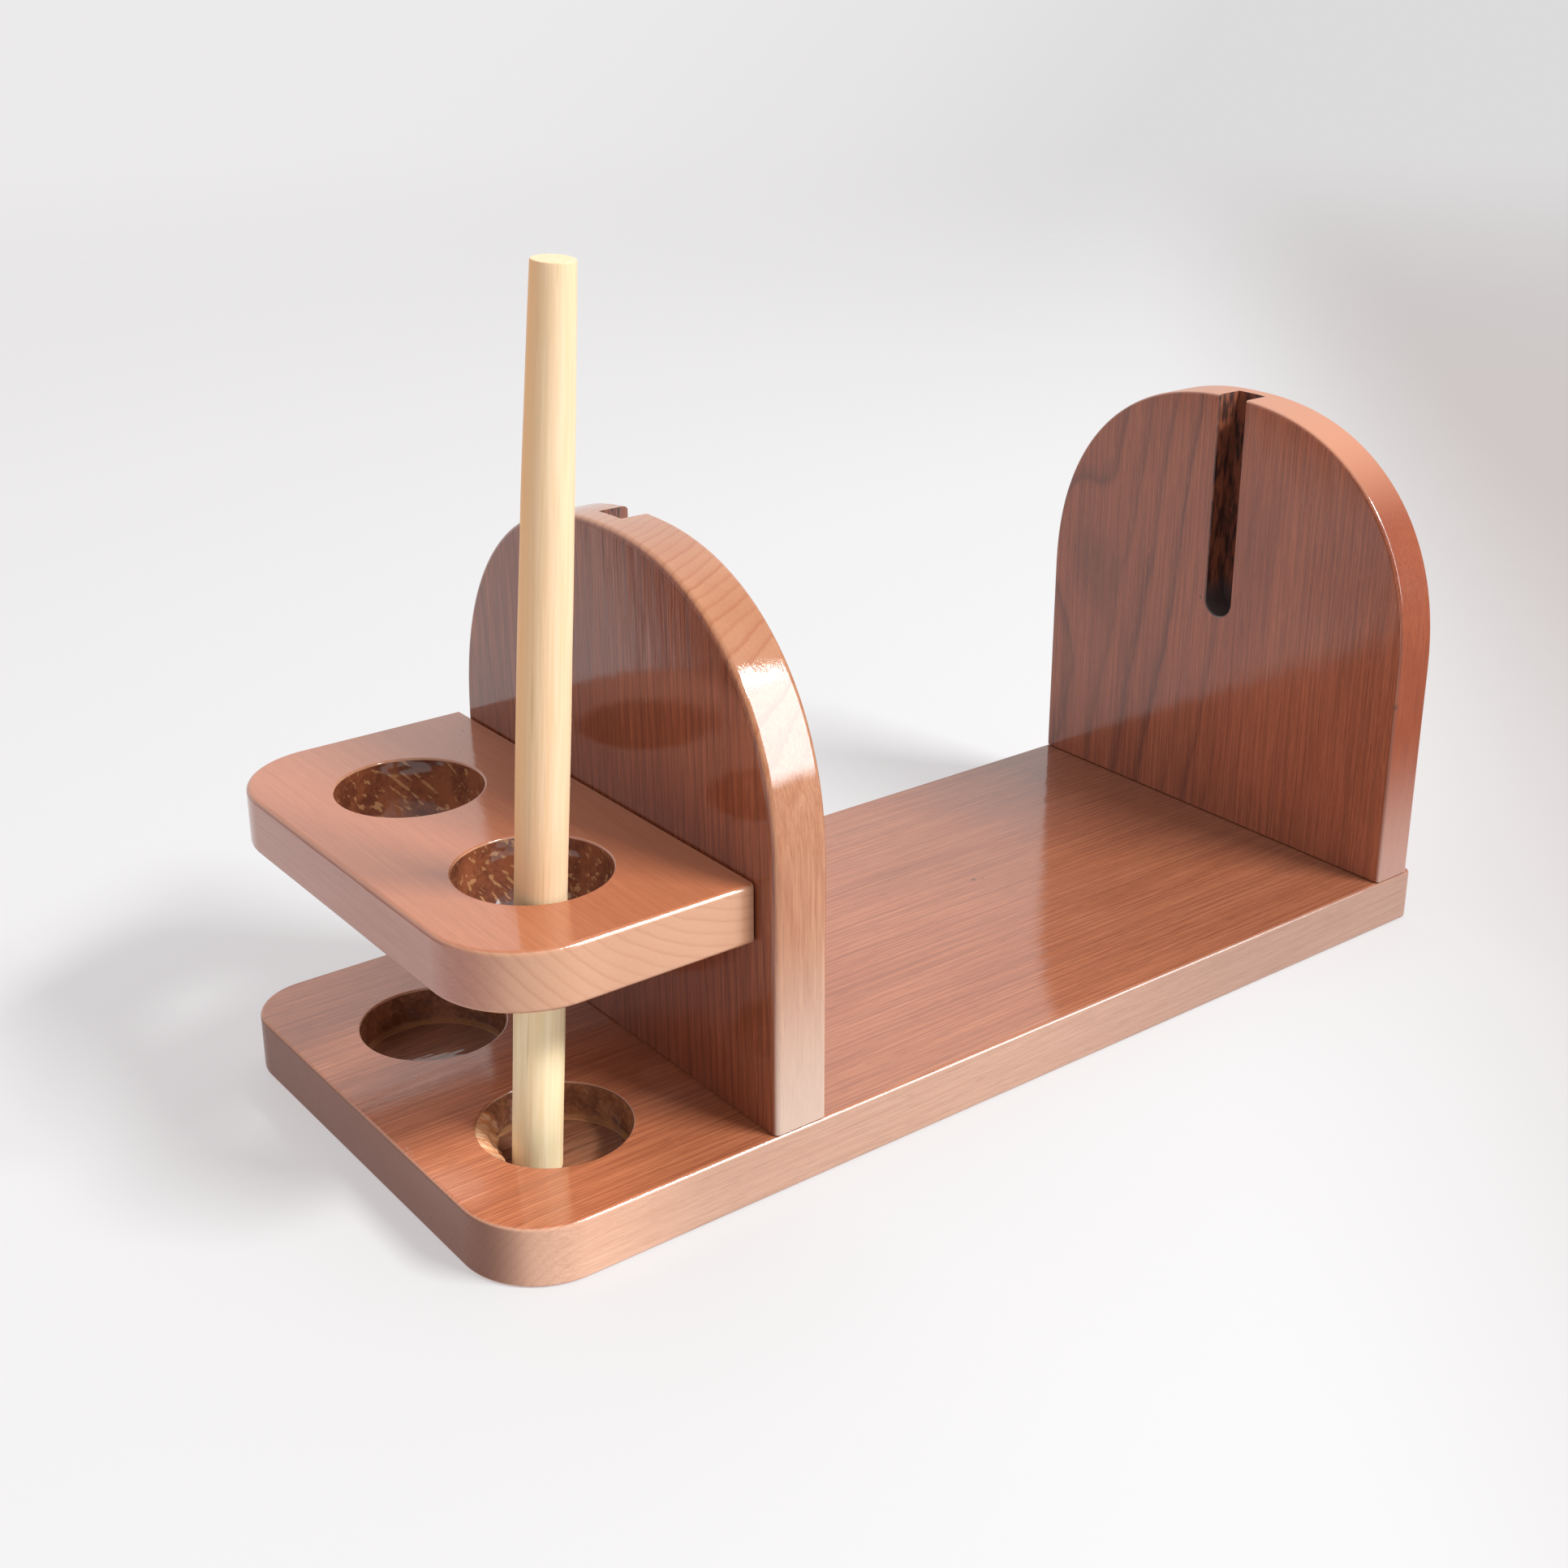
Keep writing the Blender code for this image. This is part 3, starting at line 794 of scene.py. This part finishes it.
def make_shelf(materials):
    """Round at its two free corners, with its long edges eased to meet the upright."""
    bm = bmesh.new()
    corners = (SHELF_CORNER, SHELF_BUTT_CORNER, SHELF_BUTT_CORNER, SHELF_CORNER)
    thickness = SHELF_HIGH.z - SHELF_LOW.z
    butt = SHELF_HIGH.x
    sides = []
    for height, inset in edge_profile(thickness, SHELF_ROUND):
        high = Vector((butt + inset * BUTT_EASE, SHELF_HIGH.y, 0))
        outline = plan_outline(SHELF_LOW, high, corners, inset)
        sides.append(add_ring(bm, [(p.x, p.y, SHELF_LOW.z + height) for p in outline]))
    skin_all(bm, sides)
    bottom, top = [sides[0]], [sides[-1]]
    for place in well_places(SHELF_WELL_CENTRE):
        wall = wall_rings(bm, place, SHELF_HIGH.z, SHELF_LOW.z, WELL_TAPER, WELL_LEAN)
        skin_all(bm, wall[: EDGE_STEPS + 1], 0)
        skin_all(bm, wall[EDGE_STEPS:], 1)
        top.append(wall[0])
        bottom.append(wall[-1])
    fill(bm, bottom)
    fill(bm, top)
    shelf = make_object("bottle_shelf_wood", bm, materials)
    carve(shelf, [dowel_hole(y, -1, DOWEL_IN_SHELF) for y in dowel_places()])
    return settle(shelf, "stand", "bottle_shelf")


def dowel_places():
    centre = (SHELF_LOW.y + SHELF_HIGH.y) / 2
    return (centre - DOWEL_SPREAD, centre + DOWEL_SPREAD)


def dowel_hole(y, side, depth):
    """A cutter for a blind hole, from past the joint into the shelf (-1) or the upright (1)."""
    middle = (SHELF_LOW.z + SHELF_HIGH.z) / 2
    start, end = NEAR_LOW.x - side * CUT_PAST, NEAR_LOW.x + side * (depth + GAP)
    ends = [Vector((x, y, middle)) for x in (start, end)]
    return pin_cutter(f"cut_dowel_{y:.3f}", *ends, DOWEL_RADIUS + GAP)


def pin_cutter(name, start, end, radius):
    axis = end - start
    turn = axis.to_track_quat("Z", "Y").to_matrix()
    bm = bmesh.new()
    loops = []
    for height in (0, axis.length):
        ring = round_ring(Vector((0, 0)), radius, height, PIN_STEPS)
        loops.append(add_ring(bm, [start + turn @ Vector(p) for p in ring]))
    skin_all(bm, loops)
    for loop in loops:
        bm.faces.new(loop)
    return make_object(name, bm, ())


def upright_outline(half, rise, inset):
    """Half-width and height of an upright's edge, from front foot over the crown to rear foot."""
    points = [Vector((-half + inset, 0))]
    for i in range(CROWN_STEPS + 1):
        angle = math.pi * i / CROWN_STEPS
        across, up = math.cos(angle), math.sin(angle)
        power = 2 / CROWN_POWER
        y = -half * math.copysign(abs(across) ** power, across)
        z = STRAIGHT_SIDE + rise * abs(up) ** power
        steep = 2 - power
        sideways = -math.copysign(abs(across) ** steep, across) / half
        slope = Vector((sideways, abs(up) ** steep / rise))
        points.append(Vector((y, z)) - slope.normalized() * inset)
    points.append(Vector((half - inset, 0)))
    return points


def groove_cutter(name, centre_y, face_x, back_x, top):
    """A slot with a round foot, from past the inner face to the groove's back, its lip eased."""
    out = math.copysign(1, face_x - back_x)
    foot_z = BASE_TOP + GROOVE_FOOT + GROOVE_WIDTH / 2
    bm = bmesh.new()
    loops = []
    stations = (
        (back_x, 0),
        (face_x - out * GROOVE_LIP, 0),
        (face_x + out * CUT_PAST, GROOVE_LIP + CUT_PAST),
    )
    for x, flare in stations:
        half = GROOVE_WIDTH / 2 + flare
        outline = [Vector((centre_y - half, top + CUT_PAST))]
        outline += arc(Vector((centre_y, foot_z)), half, 180, 360)
        outline += [Vector((centre_y + half, top + CUT_PAST))]
        loops.append(add_ring(bm, [(x, p.x, p.y) for p in outline]))
    skin_all(bm, loops)
    for loop in (loops[0], loops[-1]):
        bm.faces.new(loop)
    for face in bm.faces:
        face.material_index = 1
    return make_object(name, bm, ())


def make_upright(name, node, low, high, edge, inner_side, groove_y, materials, holes):
    """An arched board standing across the base, with its groove in the face on its inner side."""
    half = (high.y - low.y) / 2
    height = high.z - BASE_TOP
    bm = bmesh.new()
    loops = []
    for depth, inset in edge_profile(high.x - low.x, edge):
        outline = upright_outline(half, height - STRAIGHT_SIDE, inset)
        ring = [(low.x + depth, p.x, BASE_TOP + max(p.y, low.z - BASE_TOP)) for p in outline]
        loops.append(add_ring(bm, ring))
    skin_all(bm, loops)
    for loop in (loops[0], loops[-1]):
        bm.faces.new(loop)
    upright = make_object(name, bm, materials)
    face_x = high.x if inner_side > 0 else low.x
    back_x = face_x - inner_side * GROOVE_DEPTH
    cutters = [groove_cutter(f"cut_groove_{node}", groove_y, face_x, back_x, high.z)]
    for place in screw_places():
        if low.x < place.x < high.x:
            foot = Vector((place.x, place.y, low.z - CUT_PAST))
            head = Vector((place.x, place.y, SCREW_LENGTH + 3 * GAP))
            cutters.append(pin_cutter("cut_pilot", foot, head, SCREW_SHANK_RADIUS + GAP))
    carve(upright, cutters + holes)
    return settle(upright, "stand", node)


def rod_radius(distance):
    """Full at first, then falling ever faster to the tip."""
    along = max(0.0, (distance - ROD_TAPER_START) / (ROD_LENGTH - ROD_TAPER_START))
    return ROD_RADIUS - (ROD_RADIUS - ROD_TIP_RADIUS) * along**ROD_TAPER_POWER


def make_rod(materials):
    """A whittled dowel: slightly bowed, not quite round, with eased ends."""
    lean = math.acos(ROD_AXIS.z)
    place = well_places(BASE_WELL_CENTRE)[0] + ROD_FOOT_OFFSET
    foot_z = WELL_FLOOR + GAP + ROD_RADIUS * math.sin(lean)
    foot = Vector((place.x, place.y, foot_z))
    turn = Vector((0, 0, 1)).rotation_difference(ROD_AXIS).to_matrix()
    bend = turn.inverted() @ (ROD_BEND_SIDE - ROD_AXIS * ROD_BEND_SIDE.dot(ROD_AXIS)).normalized()
    straight = ROD_LENGTH - 2 * ROD_CHAMFER
    stations = [0.0, ROD_CHAMFER * ROD_EASED_STEP]
    stations += [ROD_CHAMFER + straight * i / ROD_STATIONS for i in range(ROD_STATIONS + 1)]
    stations += [ROD_LENGTH - ROD_CHAMFER * ROD_EASED_STEP, ROD_LENGTH]
    bm = bmesh.new()
    loops = []
    for station in stations:
        from_end = min(station, ROD_LENGTH - station) / ROD_CHAMFER
        eased = ROD_CHAMFER * (1 - math.sqrt(max(0.0, 1 - (1 - min(1.0, from_end)) ** 2)))
        shift = bend * (ROD_BEND * math.sin(math.pi * station / ROD_LENGTH))
        ring = []
        for i in range(ROD_STEPS):
            angle = 2 * math.pi * i / ROD_STEPS
            around = Vector((math.cos(angle), math.sin(angle), 0))
            spot = Vector((*around.xy * ROD_LUMPS_AROUND, station * ROD_LUMPS_ALONG))
            lump = ROD_LUMP * (noise.noise(spot) - ROD_LUMP_PEAK)
            reach = rod_radius(station) - eased + lump
            ring.append(foot + turn @ (around * reach + shift + Vector((0, 0, station))))
        loops.append(add_ring(bm, ring))
    skin_all(bm, loops)
    for loop in (loops[0], loops[-1]):
        bm.faces.new(loop)
    return settle(make_object("axle_rod_wood", bm, materials), "rod", "axle_rod")


# Each board's wood. "grain" is the axis along the fibres and "face" the one square to the broad
# faces. The rings' centre, "pith", is at (across, through) and drifts by "lean" along the board.
# "pith", "spacing" and "warp" are in millimetres, and "comb_rate" is per millimetre. Tones are
# (dark, light, ring). Places are in metres: "painted_sheens" are (start, full, colour) going up,
# a paler painted sheen on the edges, "ramped" is painted light and shade given the same way
# along X, "ring_fade" is (start, full) across, and "knots" are ((along, across), reach, push).
# "x_painted_shade" tints the faces square to X with painted shade, which on the base also
# stands for the end grain's deeper stain. What a board leaves out stays at its default.
BASE_WOOD = {
    "grain": "X",
    "face": "Z",
    "pith": (-170.0, -70.0),
    "lean": (0.012, 0.02),
    "spacing": 1.55,
    "warp": 5.0,
    "seed": 1.0,
    "ring_strength": 0.3,
    "end_rings": 0.3,
    "comb_rate": 1.8,
    "comb_strength": 0.34,
    "pore_strength": 0.35,
    "fleck_strength": 0.3,
    "end_gloss": 0.45,
    # Painted shade on the ends square to X, which also stands for the end grain's deeper stain.
    "x_painted_shade": (0.35, 0.235, 0.215),
    # Painted light towards the left end and painted shade towards the far upright.
    "ramped": ((-0.088, -0.125, (1.38, 1.38, 1.36)), (-0.02, 0.09, (0.74, 0.71, 0.72))),
    "face_tones": ((0.36, 0.113, 0.050), (0.50, 0.190, 0.092), (0.18, 0.048, 0.022)),
    "edge_tones": ((0.455, 0.248, 0.166), (0.535, 0.315, 0.222), (0.36, 0.170, 0.105)),
}
SHELF_WOOD = {
    "grain": "Y",
    "face": "Z",
    "pith": (-72.0, 118.0),
    "lean": (0.02, 0.03),
    "spacing": 2.7,
    "warp": 3.0,
    "seed": 9.0,
    "ring_strength": 0.25,
    "end_rings": 0.55,
    "comb_rate": 1.3,
    "comb_strength": 0.08,
    "pore_strength": 0.1,
    "fleck_strength": 0.12,
    # Painted shade on the shelf's sides square to X.
    "x_painted_shade": (0.80, 0.60, 0.67),
    "face_tones": ((0.42, 0.132, 0.054), (0.48, 0.166, 0.074), (0.34, 0.098, 0.039)),
    "edge_tones": ((0.51, 0.250, 0.146), (0.60, 0.330, 0.205), (0.42, 0.170, 0.088)),
}
NEAR_WOOD = {
    "grain": "Z",
    "face": "X",
    "pith": (62.0, -105.0),
    "lean": (0.05, -0.04),
    "spacing": 2.7,
    "warp": 4.0,
    "seed": 21.0,
    "ring_strength": 0.6,
    "end_rings": 0.7,
    "comb_rate": 1.1,
    "comb_strength": 0.3,
    "pore_strength": 0.3,
    "fleck_strength": 0.2,
    # Painted sheen: paler edges towards the foot.
    "painted_sheens": ((0.07, BASE_TOP, (0.60, 0.46, 0.38)),),
    "face_tones": ((0.215, 0.050, 0.021), (0.37, 0.108, 0.050), (0.11, 0.025, 0.013)),
    "edge_tones": ((0.34, 0.128, 0.056), (0.50, 0.235, 0.122), (0.32, 0.085, 0.026)),
}
FAR_WOOD = {
    "grain": "Z",
    "face": "X",
    "pith": (78.0, 172.0),
    "lean": (-0.10, -0.05),
    "spacing": 7.4,
    "warp": 8.0,
    "seed": 34.0,
    "ring_strength": 0.72,
    "end_rings": 0.6,
    "ring_fade": (-0.012, 0.012),
    "knots": (((0.083, 0.055), 0.022, 0.0095),),
    "comb_rate": 1.3,
    "comb_strength": 0.26,
    "pore_strength": 0.25,
    "fleck_strength": 0.6,
    "gloss_blur": 0.09,
    # Painted sheen: paler edges towards the foot and on the crown, standing in for reflected light.
    "painted_sheens": ((0.06, BASE_TOP, (0.42, 0.26, 0.215)), (0.112, 0.135, (0.56, 0.27, 0.17))),
    "rim_gloss": 0.35,
    "face_tones": ((0.29, 0.070, 0.028), (0.47, 0.138, 0.064), (0.095, 0.025, 0.014)),
    "edge_tones": ((0.22, 0.040, 0.010), (0.31, 0.068, 0.017), (0.15, 0.025, 0.006)),
}

# Marks in the wood: place, radius and depth of colour.
BASE_SPECKS = (
    ((0.0438, 0.0050, BASE_TOP), 0.0011, 0.8),
    ((0.0462, 0.0040, BASE_TOP), 0.0007, 0.6),
)
SHELF_SPECKS = (
    ((-0.0844, 0.0564, SHELF_HIGH.z), 0.0005, 0.9),
    ((-0.0865, 0.0538, SHELF_HIGH.z), 0.0004, 0.8),
    ((-0.0917, 0.0444, SHELF_HIGH.z), 0.0005, 0.8),
)
FAR_SPECKS = (
    ((FAR_LOW.x, 0.0053, 0.0796), 0.0009, 0.7),
    ((FAR_LOW.x, -0.0648, 0.0665), 0.0013, 0.6),
)

FLECK_SLANT = (0.62, -0.47, -0.62)

# Tones start with the dark and the light one. Flecks, patches, streaks, painted shade and lines follow.
SHELF_WALL_TONES = ((0.13, 0.038, 0.020), (0.27, 0.085, 0.038), (0.50, 0.27, 0.12))
BASE_WALL_TONES = ((0.18, 0.066, 0.033), (0.40, 0.165, 0.078), (0.62, 0.34, 0.16))
# Torn fibres: their own paler colour, brightened further with painted light.
TORN_PAINTED_LIGHT_TONES = ((0.80, 0.30, 0.12), (1.0, 0.68, 0.42))
FLOOR_TONES = ((0.18, 0.068, 0.035), (0.34, 0.145, 0.078), (0.24, 0.115, 0.066))
GROOVE_TONES = (
    (0.036, 0.011, 0.008), (0.24, 0.070, 0.033), (0.30, 0.10, 0.045), (0.075, 0.055, 0.060),
)
# The rod's third tone is its streaks' and also its painted shade.
ROD_TONES = ((0.78, 0.56, 0.34), (0.84, 0.63, 0.42), (0.87, 0.49, 0.23), (0.46, 0.29, 0.14))
ROD_FOOT_TINT = (1.17, 1.37, 1.38)
STEEL_TONES = ((0.42, 0.41, 0.39), (0.66, 0.65, 0.62))
DOWEL_TONES = ((0.62, 0.44, 0.24), (0.76, 0.58, 0.36), (0.52, 0.34, 0.17), (0.44, 0.28, 0.14))


def build_pieces():
    shelf_wall = drilled_wood("shelf_wall", SHELF_WALL_TONES, FLECK_SLANT, flecking=0.7, seed=3.0)
    torn_side = Vector((math.cos(TORN_HEADING), math.sin(TORN_HEADING))) * WELL_RADIUS
    torn_place = (well_places(BASE_WELL_CENTRE)[0] + torn_side).to_3d()
    torn_place.z = (BASE_TOP + WELL_FLOOR) / 2
    torn = (torn_place, TORN_PATCH)
    base_wall = drilled_wood(
        "base_wall", BASE_WALL_TONES, FLECK_SLANT, flecking=0.25, seed=7.0, foot=WELL_FLOOR, torn=torn
    )
    base_floor = recess_floor("base_floor", FLOOR_TONES, seed=12.0)
    foot_z = BASE_TOP + GROOVE_FOOT
    near_groove = groove_wood("near_groove", foot_z, seed=2.0)
    far_groove = groove_wood("far_groove", foot_z, seed=14.0)
    make_base([lacquered_wood("base_wood", BASE_WOOD, BASE_SPECKS), base_wall, base_floor])
    make_shelf([lacquered_wood("shelf_wood", SHELF_WOOD, SHELF_SPECKS), shelf_wall])
    dowels = [dowel_hole(y, 1, DOWEL_IN_UPRIGHT) for y in dowel_places()]
    near = lacquered_wood("near_wood", NEAR_WOOD)
    far = lacquered_wood("far_wood", FAR_WOOD, FAR_SPECKS)
    make_upright(
        "near_upright_wood", "near_upright", NEAR_LOW, NEAR_HIGH, NEAR_ROUND, inner_side=1,
        groove_y=NEAR_GROOVE_Y, materials=[near, near_groove], holes=dowels,
    )
    make_upright(
        "far_upright_wood", "far_upright", FAR_LOW, FAR_HIGH, FAR_ROUND, inner_side=-1,
        groove_y=FAR_GROOVE_Y, materials=[far, far_groove], holes=[],
    )
    rod = bare_wood(
        "rod_wood", ROD_TONES, ROD_AXIS, seed=5.0, streak_strength=0.25,
        painted_shade_side=ROD_BEND_SIDE, foot_tint=ROD_FOOT_TINT,
    )
    make_rod([rod])


def dress_fasteners():
    """Materials for the screws and dowels, which keep their CAD shapes."""
    steel = screw_steel("screw_steel")
    along_x = (1.0, 0.0, 0.0)
    dowel = bare_wood("dowel_wood", DOWEL_TONES, along_x, seed=18.0, streak_strength=0.3)
    for name, node in frame["nodes"].items():
        if "screw" in name or "dowel" in name:
            material = steel if "screw" in name else dowel
            for slot in node.material_slots:
                slot.material = material


def make_floor():
    """A round pale floor that glows a little, is dimmer at the right and fades into the sky."""
    shader = Shader("studio_floor")
    place = shader.add("TexCoord", {}).outputs["Object"]
    dim = shader.mix(shader.range(shader.dot(place, DIM_ALONG), *DIM_REACH), WHITE, DIM_TONE)
    shader.set(
        Base_Color=shader.tint(dim, (*FLOOR_COLOUR, 1.0)),
        Roughness=0.8,
        Specular_IOR_Level=0.2,
        Emission_Color=shader.tint(dim, (*FLOOR_GLOW_COLOUR, 1.0)),
        Emission_Strength=FLOOR_GLOW,
    )
    clear = shader.add("BsdfTransparent", {}).outputs[0]
    fade = shader.range(shader.length(place), *FLOOR_FADE)
    ramped = shader.add("MixShader", {0: fade, 1: shader.surface.outputs[0], 2: clear})
    shader.tree.links.new(ramped.outputs[0], shader.tree.nodes["Material Output"].inputs["Surface"])
    bm = bmesh.new()
    rings = []
    for i in range(1, FLOOR_RINGS + 1):
        radius = FLOOR_RADIUS * (i / FLOOR_RINGS) ** 2
        rings.append(add_ring(bm, round_ring(Vector((0, 0)), radius, 0.0, FLOOR_SIDES)))
    bm.faces.new(rings[0])
    skin_all(bm, rings)
    floor = make_object("studio_floor", bm, [shader.material])


def make_flag():
    """A dark card beside the object, seen only as a deep tone in the near upright's gloss."""
    shader = Shader("studio_flag")
    shader.set(Base_Color=(*FLAG_COLOUR, 1.0), Roughness=0.9, Specular_IOR_Level=0.1)
    bm = bmesh.new()
    bm.faces.new(add_ring(bm, [(x, y, FLAG_HEIGHT) for x, y in FLAG_CORNERS]))
    flag = make_object("studio_flag", bm, [shader.material])
    flag.visible_camera = flag.visible_diffuse = flag.visible_shadow = False


def make_lamp(name, heading, height, distance, width, tall, power, colour):
    """A rectangular lamp that faces the object, its heading turned from the front to the right."""
    data = bpy.data.lights.new(name, "AREA")
    data.shape = "RECTANGLE"
    data.size = width
    data.size_y = tall
    data.energy = power
    data.color = colour
    lamp = link(bpy.data.objects.new(name, data))
    towards = Vector((
        math.sin(heading) * math.cos(height),
        -math.cos(heading) * math.cos(height),
        math.sin(height),
    ))
    lamp.location = towards * distance + Vector((0, 0, LAMP_AIM))
    lamp.rotation_mode = "QUATERNION"
    lamp.rotation_quaternion = towards.to_track_quat("Z", "Y")
    lamp.visible_camera = False
    return lamp


def make_lamps():
    """A wide key, and a tall window that is only seen as a gleam on the lacquer."""
    key_size = (KEY_WIDTH, KEY_TALL)
    make_lamp("key", KEY_HEADING, KEY_HEIGHT, KEY_DISTANCE, *key_size, KEY_POWER, KEY_COLOUR)
    width = 2 * WINDOW_DISTANCE * math.tan(WINDOW_HALF_WIDTH)
    tall = 2 * WINDOW_DISTANCE * math.tan(WINDOW_HALF_HEIGHT)
    power = WINDOW_RADIANCE * math.pi * width * tall
    window = make_lamp(
        "window", WINDOW_HEADING, WINDOW_HEIGHT, WINDOW_DISTANCE, width, tall, power, WINDOW_COLOUR
    )
    window.visible_diffuse = False
    soften_window(window.data)


def soften_window(light):
    """The window's brightness falls away towards its edges."""
    light.use_nodes = True
    nodes = Nodes(light.node_tree)
    spot = nodes.split(nodes.add("NewGeometry", {}).outputs["Parametric"])
    falls = []
    for part in spot[:2]:
        from_middle = nodes.math("ABSOLUTE", nodes.math("SUBTRACT", part, 0.5))
        from_edge = nodes.math("SUBTRACT", 0.5, from_middle)
        falls.append(nodes.range(from_edge, 0.0, WINDOW_SOFT_EDGE))
    strength = nodes.math("MULTIPLY", *falls)
    nodes.put(light.node_tree.nodes["Emission"].inputs["Strength"], strength)


def make_sky():
    """A pale room, brightest at its horizon and at the backdrop behind the object."""
    world = bpy.data.worlds.new("studio")
    world.use_nodes = True
    nodes = Nodes(world.node_tree)
    towards = nodes.add("TexCoord", {}).outputs["Generated"]
    height = nodes.split(towards)[2]
    side = nodes.dot(towards, BACKDROP_SIDE)
    overhead = nodes.range(height, 0.0, OVERHEAD_HEIGHT, 0.0, SKY_OVERHEAD)
    backdrop = nodes.range(side, *BACKDROP_REACH, 0.0, SKY_BACKDROP)
    horizon = nodes.range(height, HORIZON_HEIGHT, 0.0, 0.0, SKY_HORIZON)
    sky = nodes.math("ADD", SKY_LOW, overhead)
    sky = nodes.math("ADD", sky, backdrop)
    sky = nodes.math("MAXIMUM", sky, horizon)
    background = world.node_tree.nodes["Background"]
    nodes.put(background.inputs["Strength"], sky)
    nodes.put(background.inputs["Color"], (*SKY_COLOUR, 1.0))
    bpy.context.scene.world = world


def make_camera():
    data = bpy.data.cameras.new("camera")
    data.lens = CAMERA_LENS
    data.sensor_width = CAMERA_SENSOR
    data.shift_y = CAMERA_SHIFT_Y
    data.clip_start = 0.01
    camera = link(bpy.data.objects.new("camera", data))
    camera.location = CAMERA_PLACE
    camera.rotation_euler = (math.pi / 2 + CAMERA_PITCH, CAMERA_ROLL, -CAMERA_HEADING)
    bpy.context.scene.camera = camera


build_pieces()
dress_fasteners()
make_floor()
make_flag()
make_lamps()
make_sky()
make_camera()
bpy.context.scene.view_settings.view_transform = "Standard"
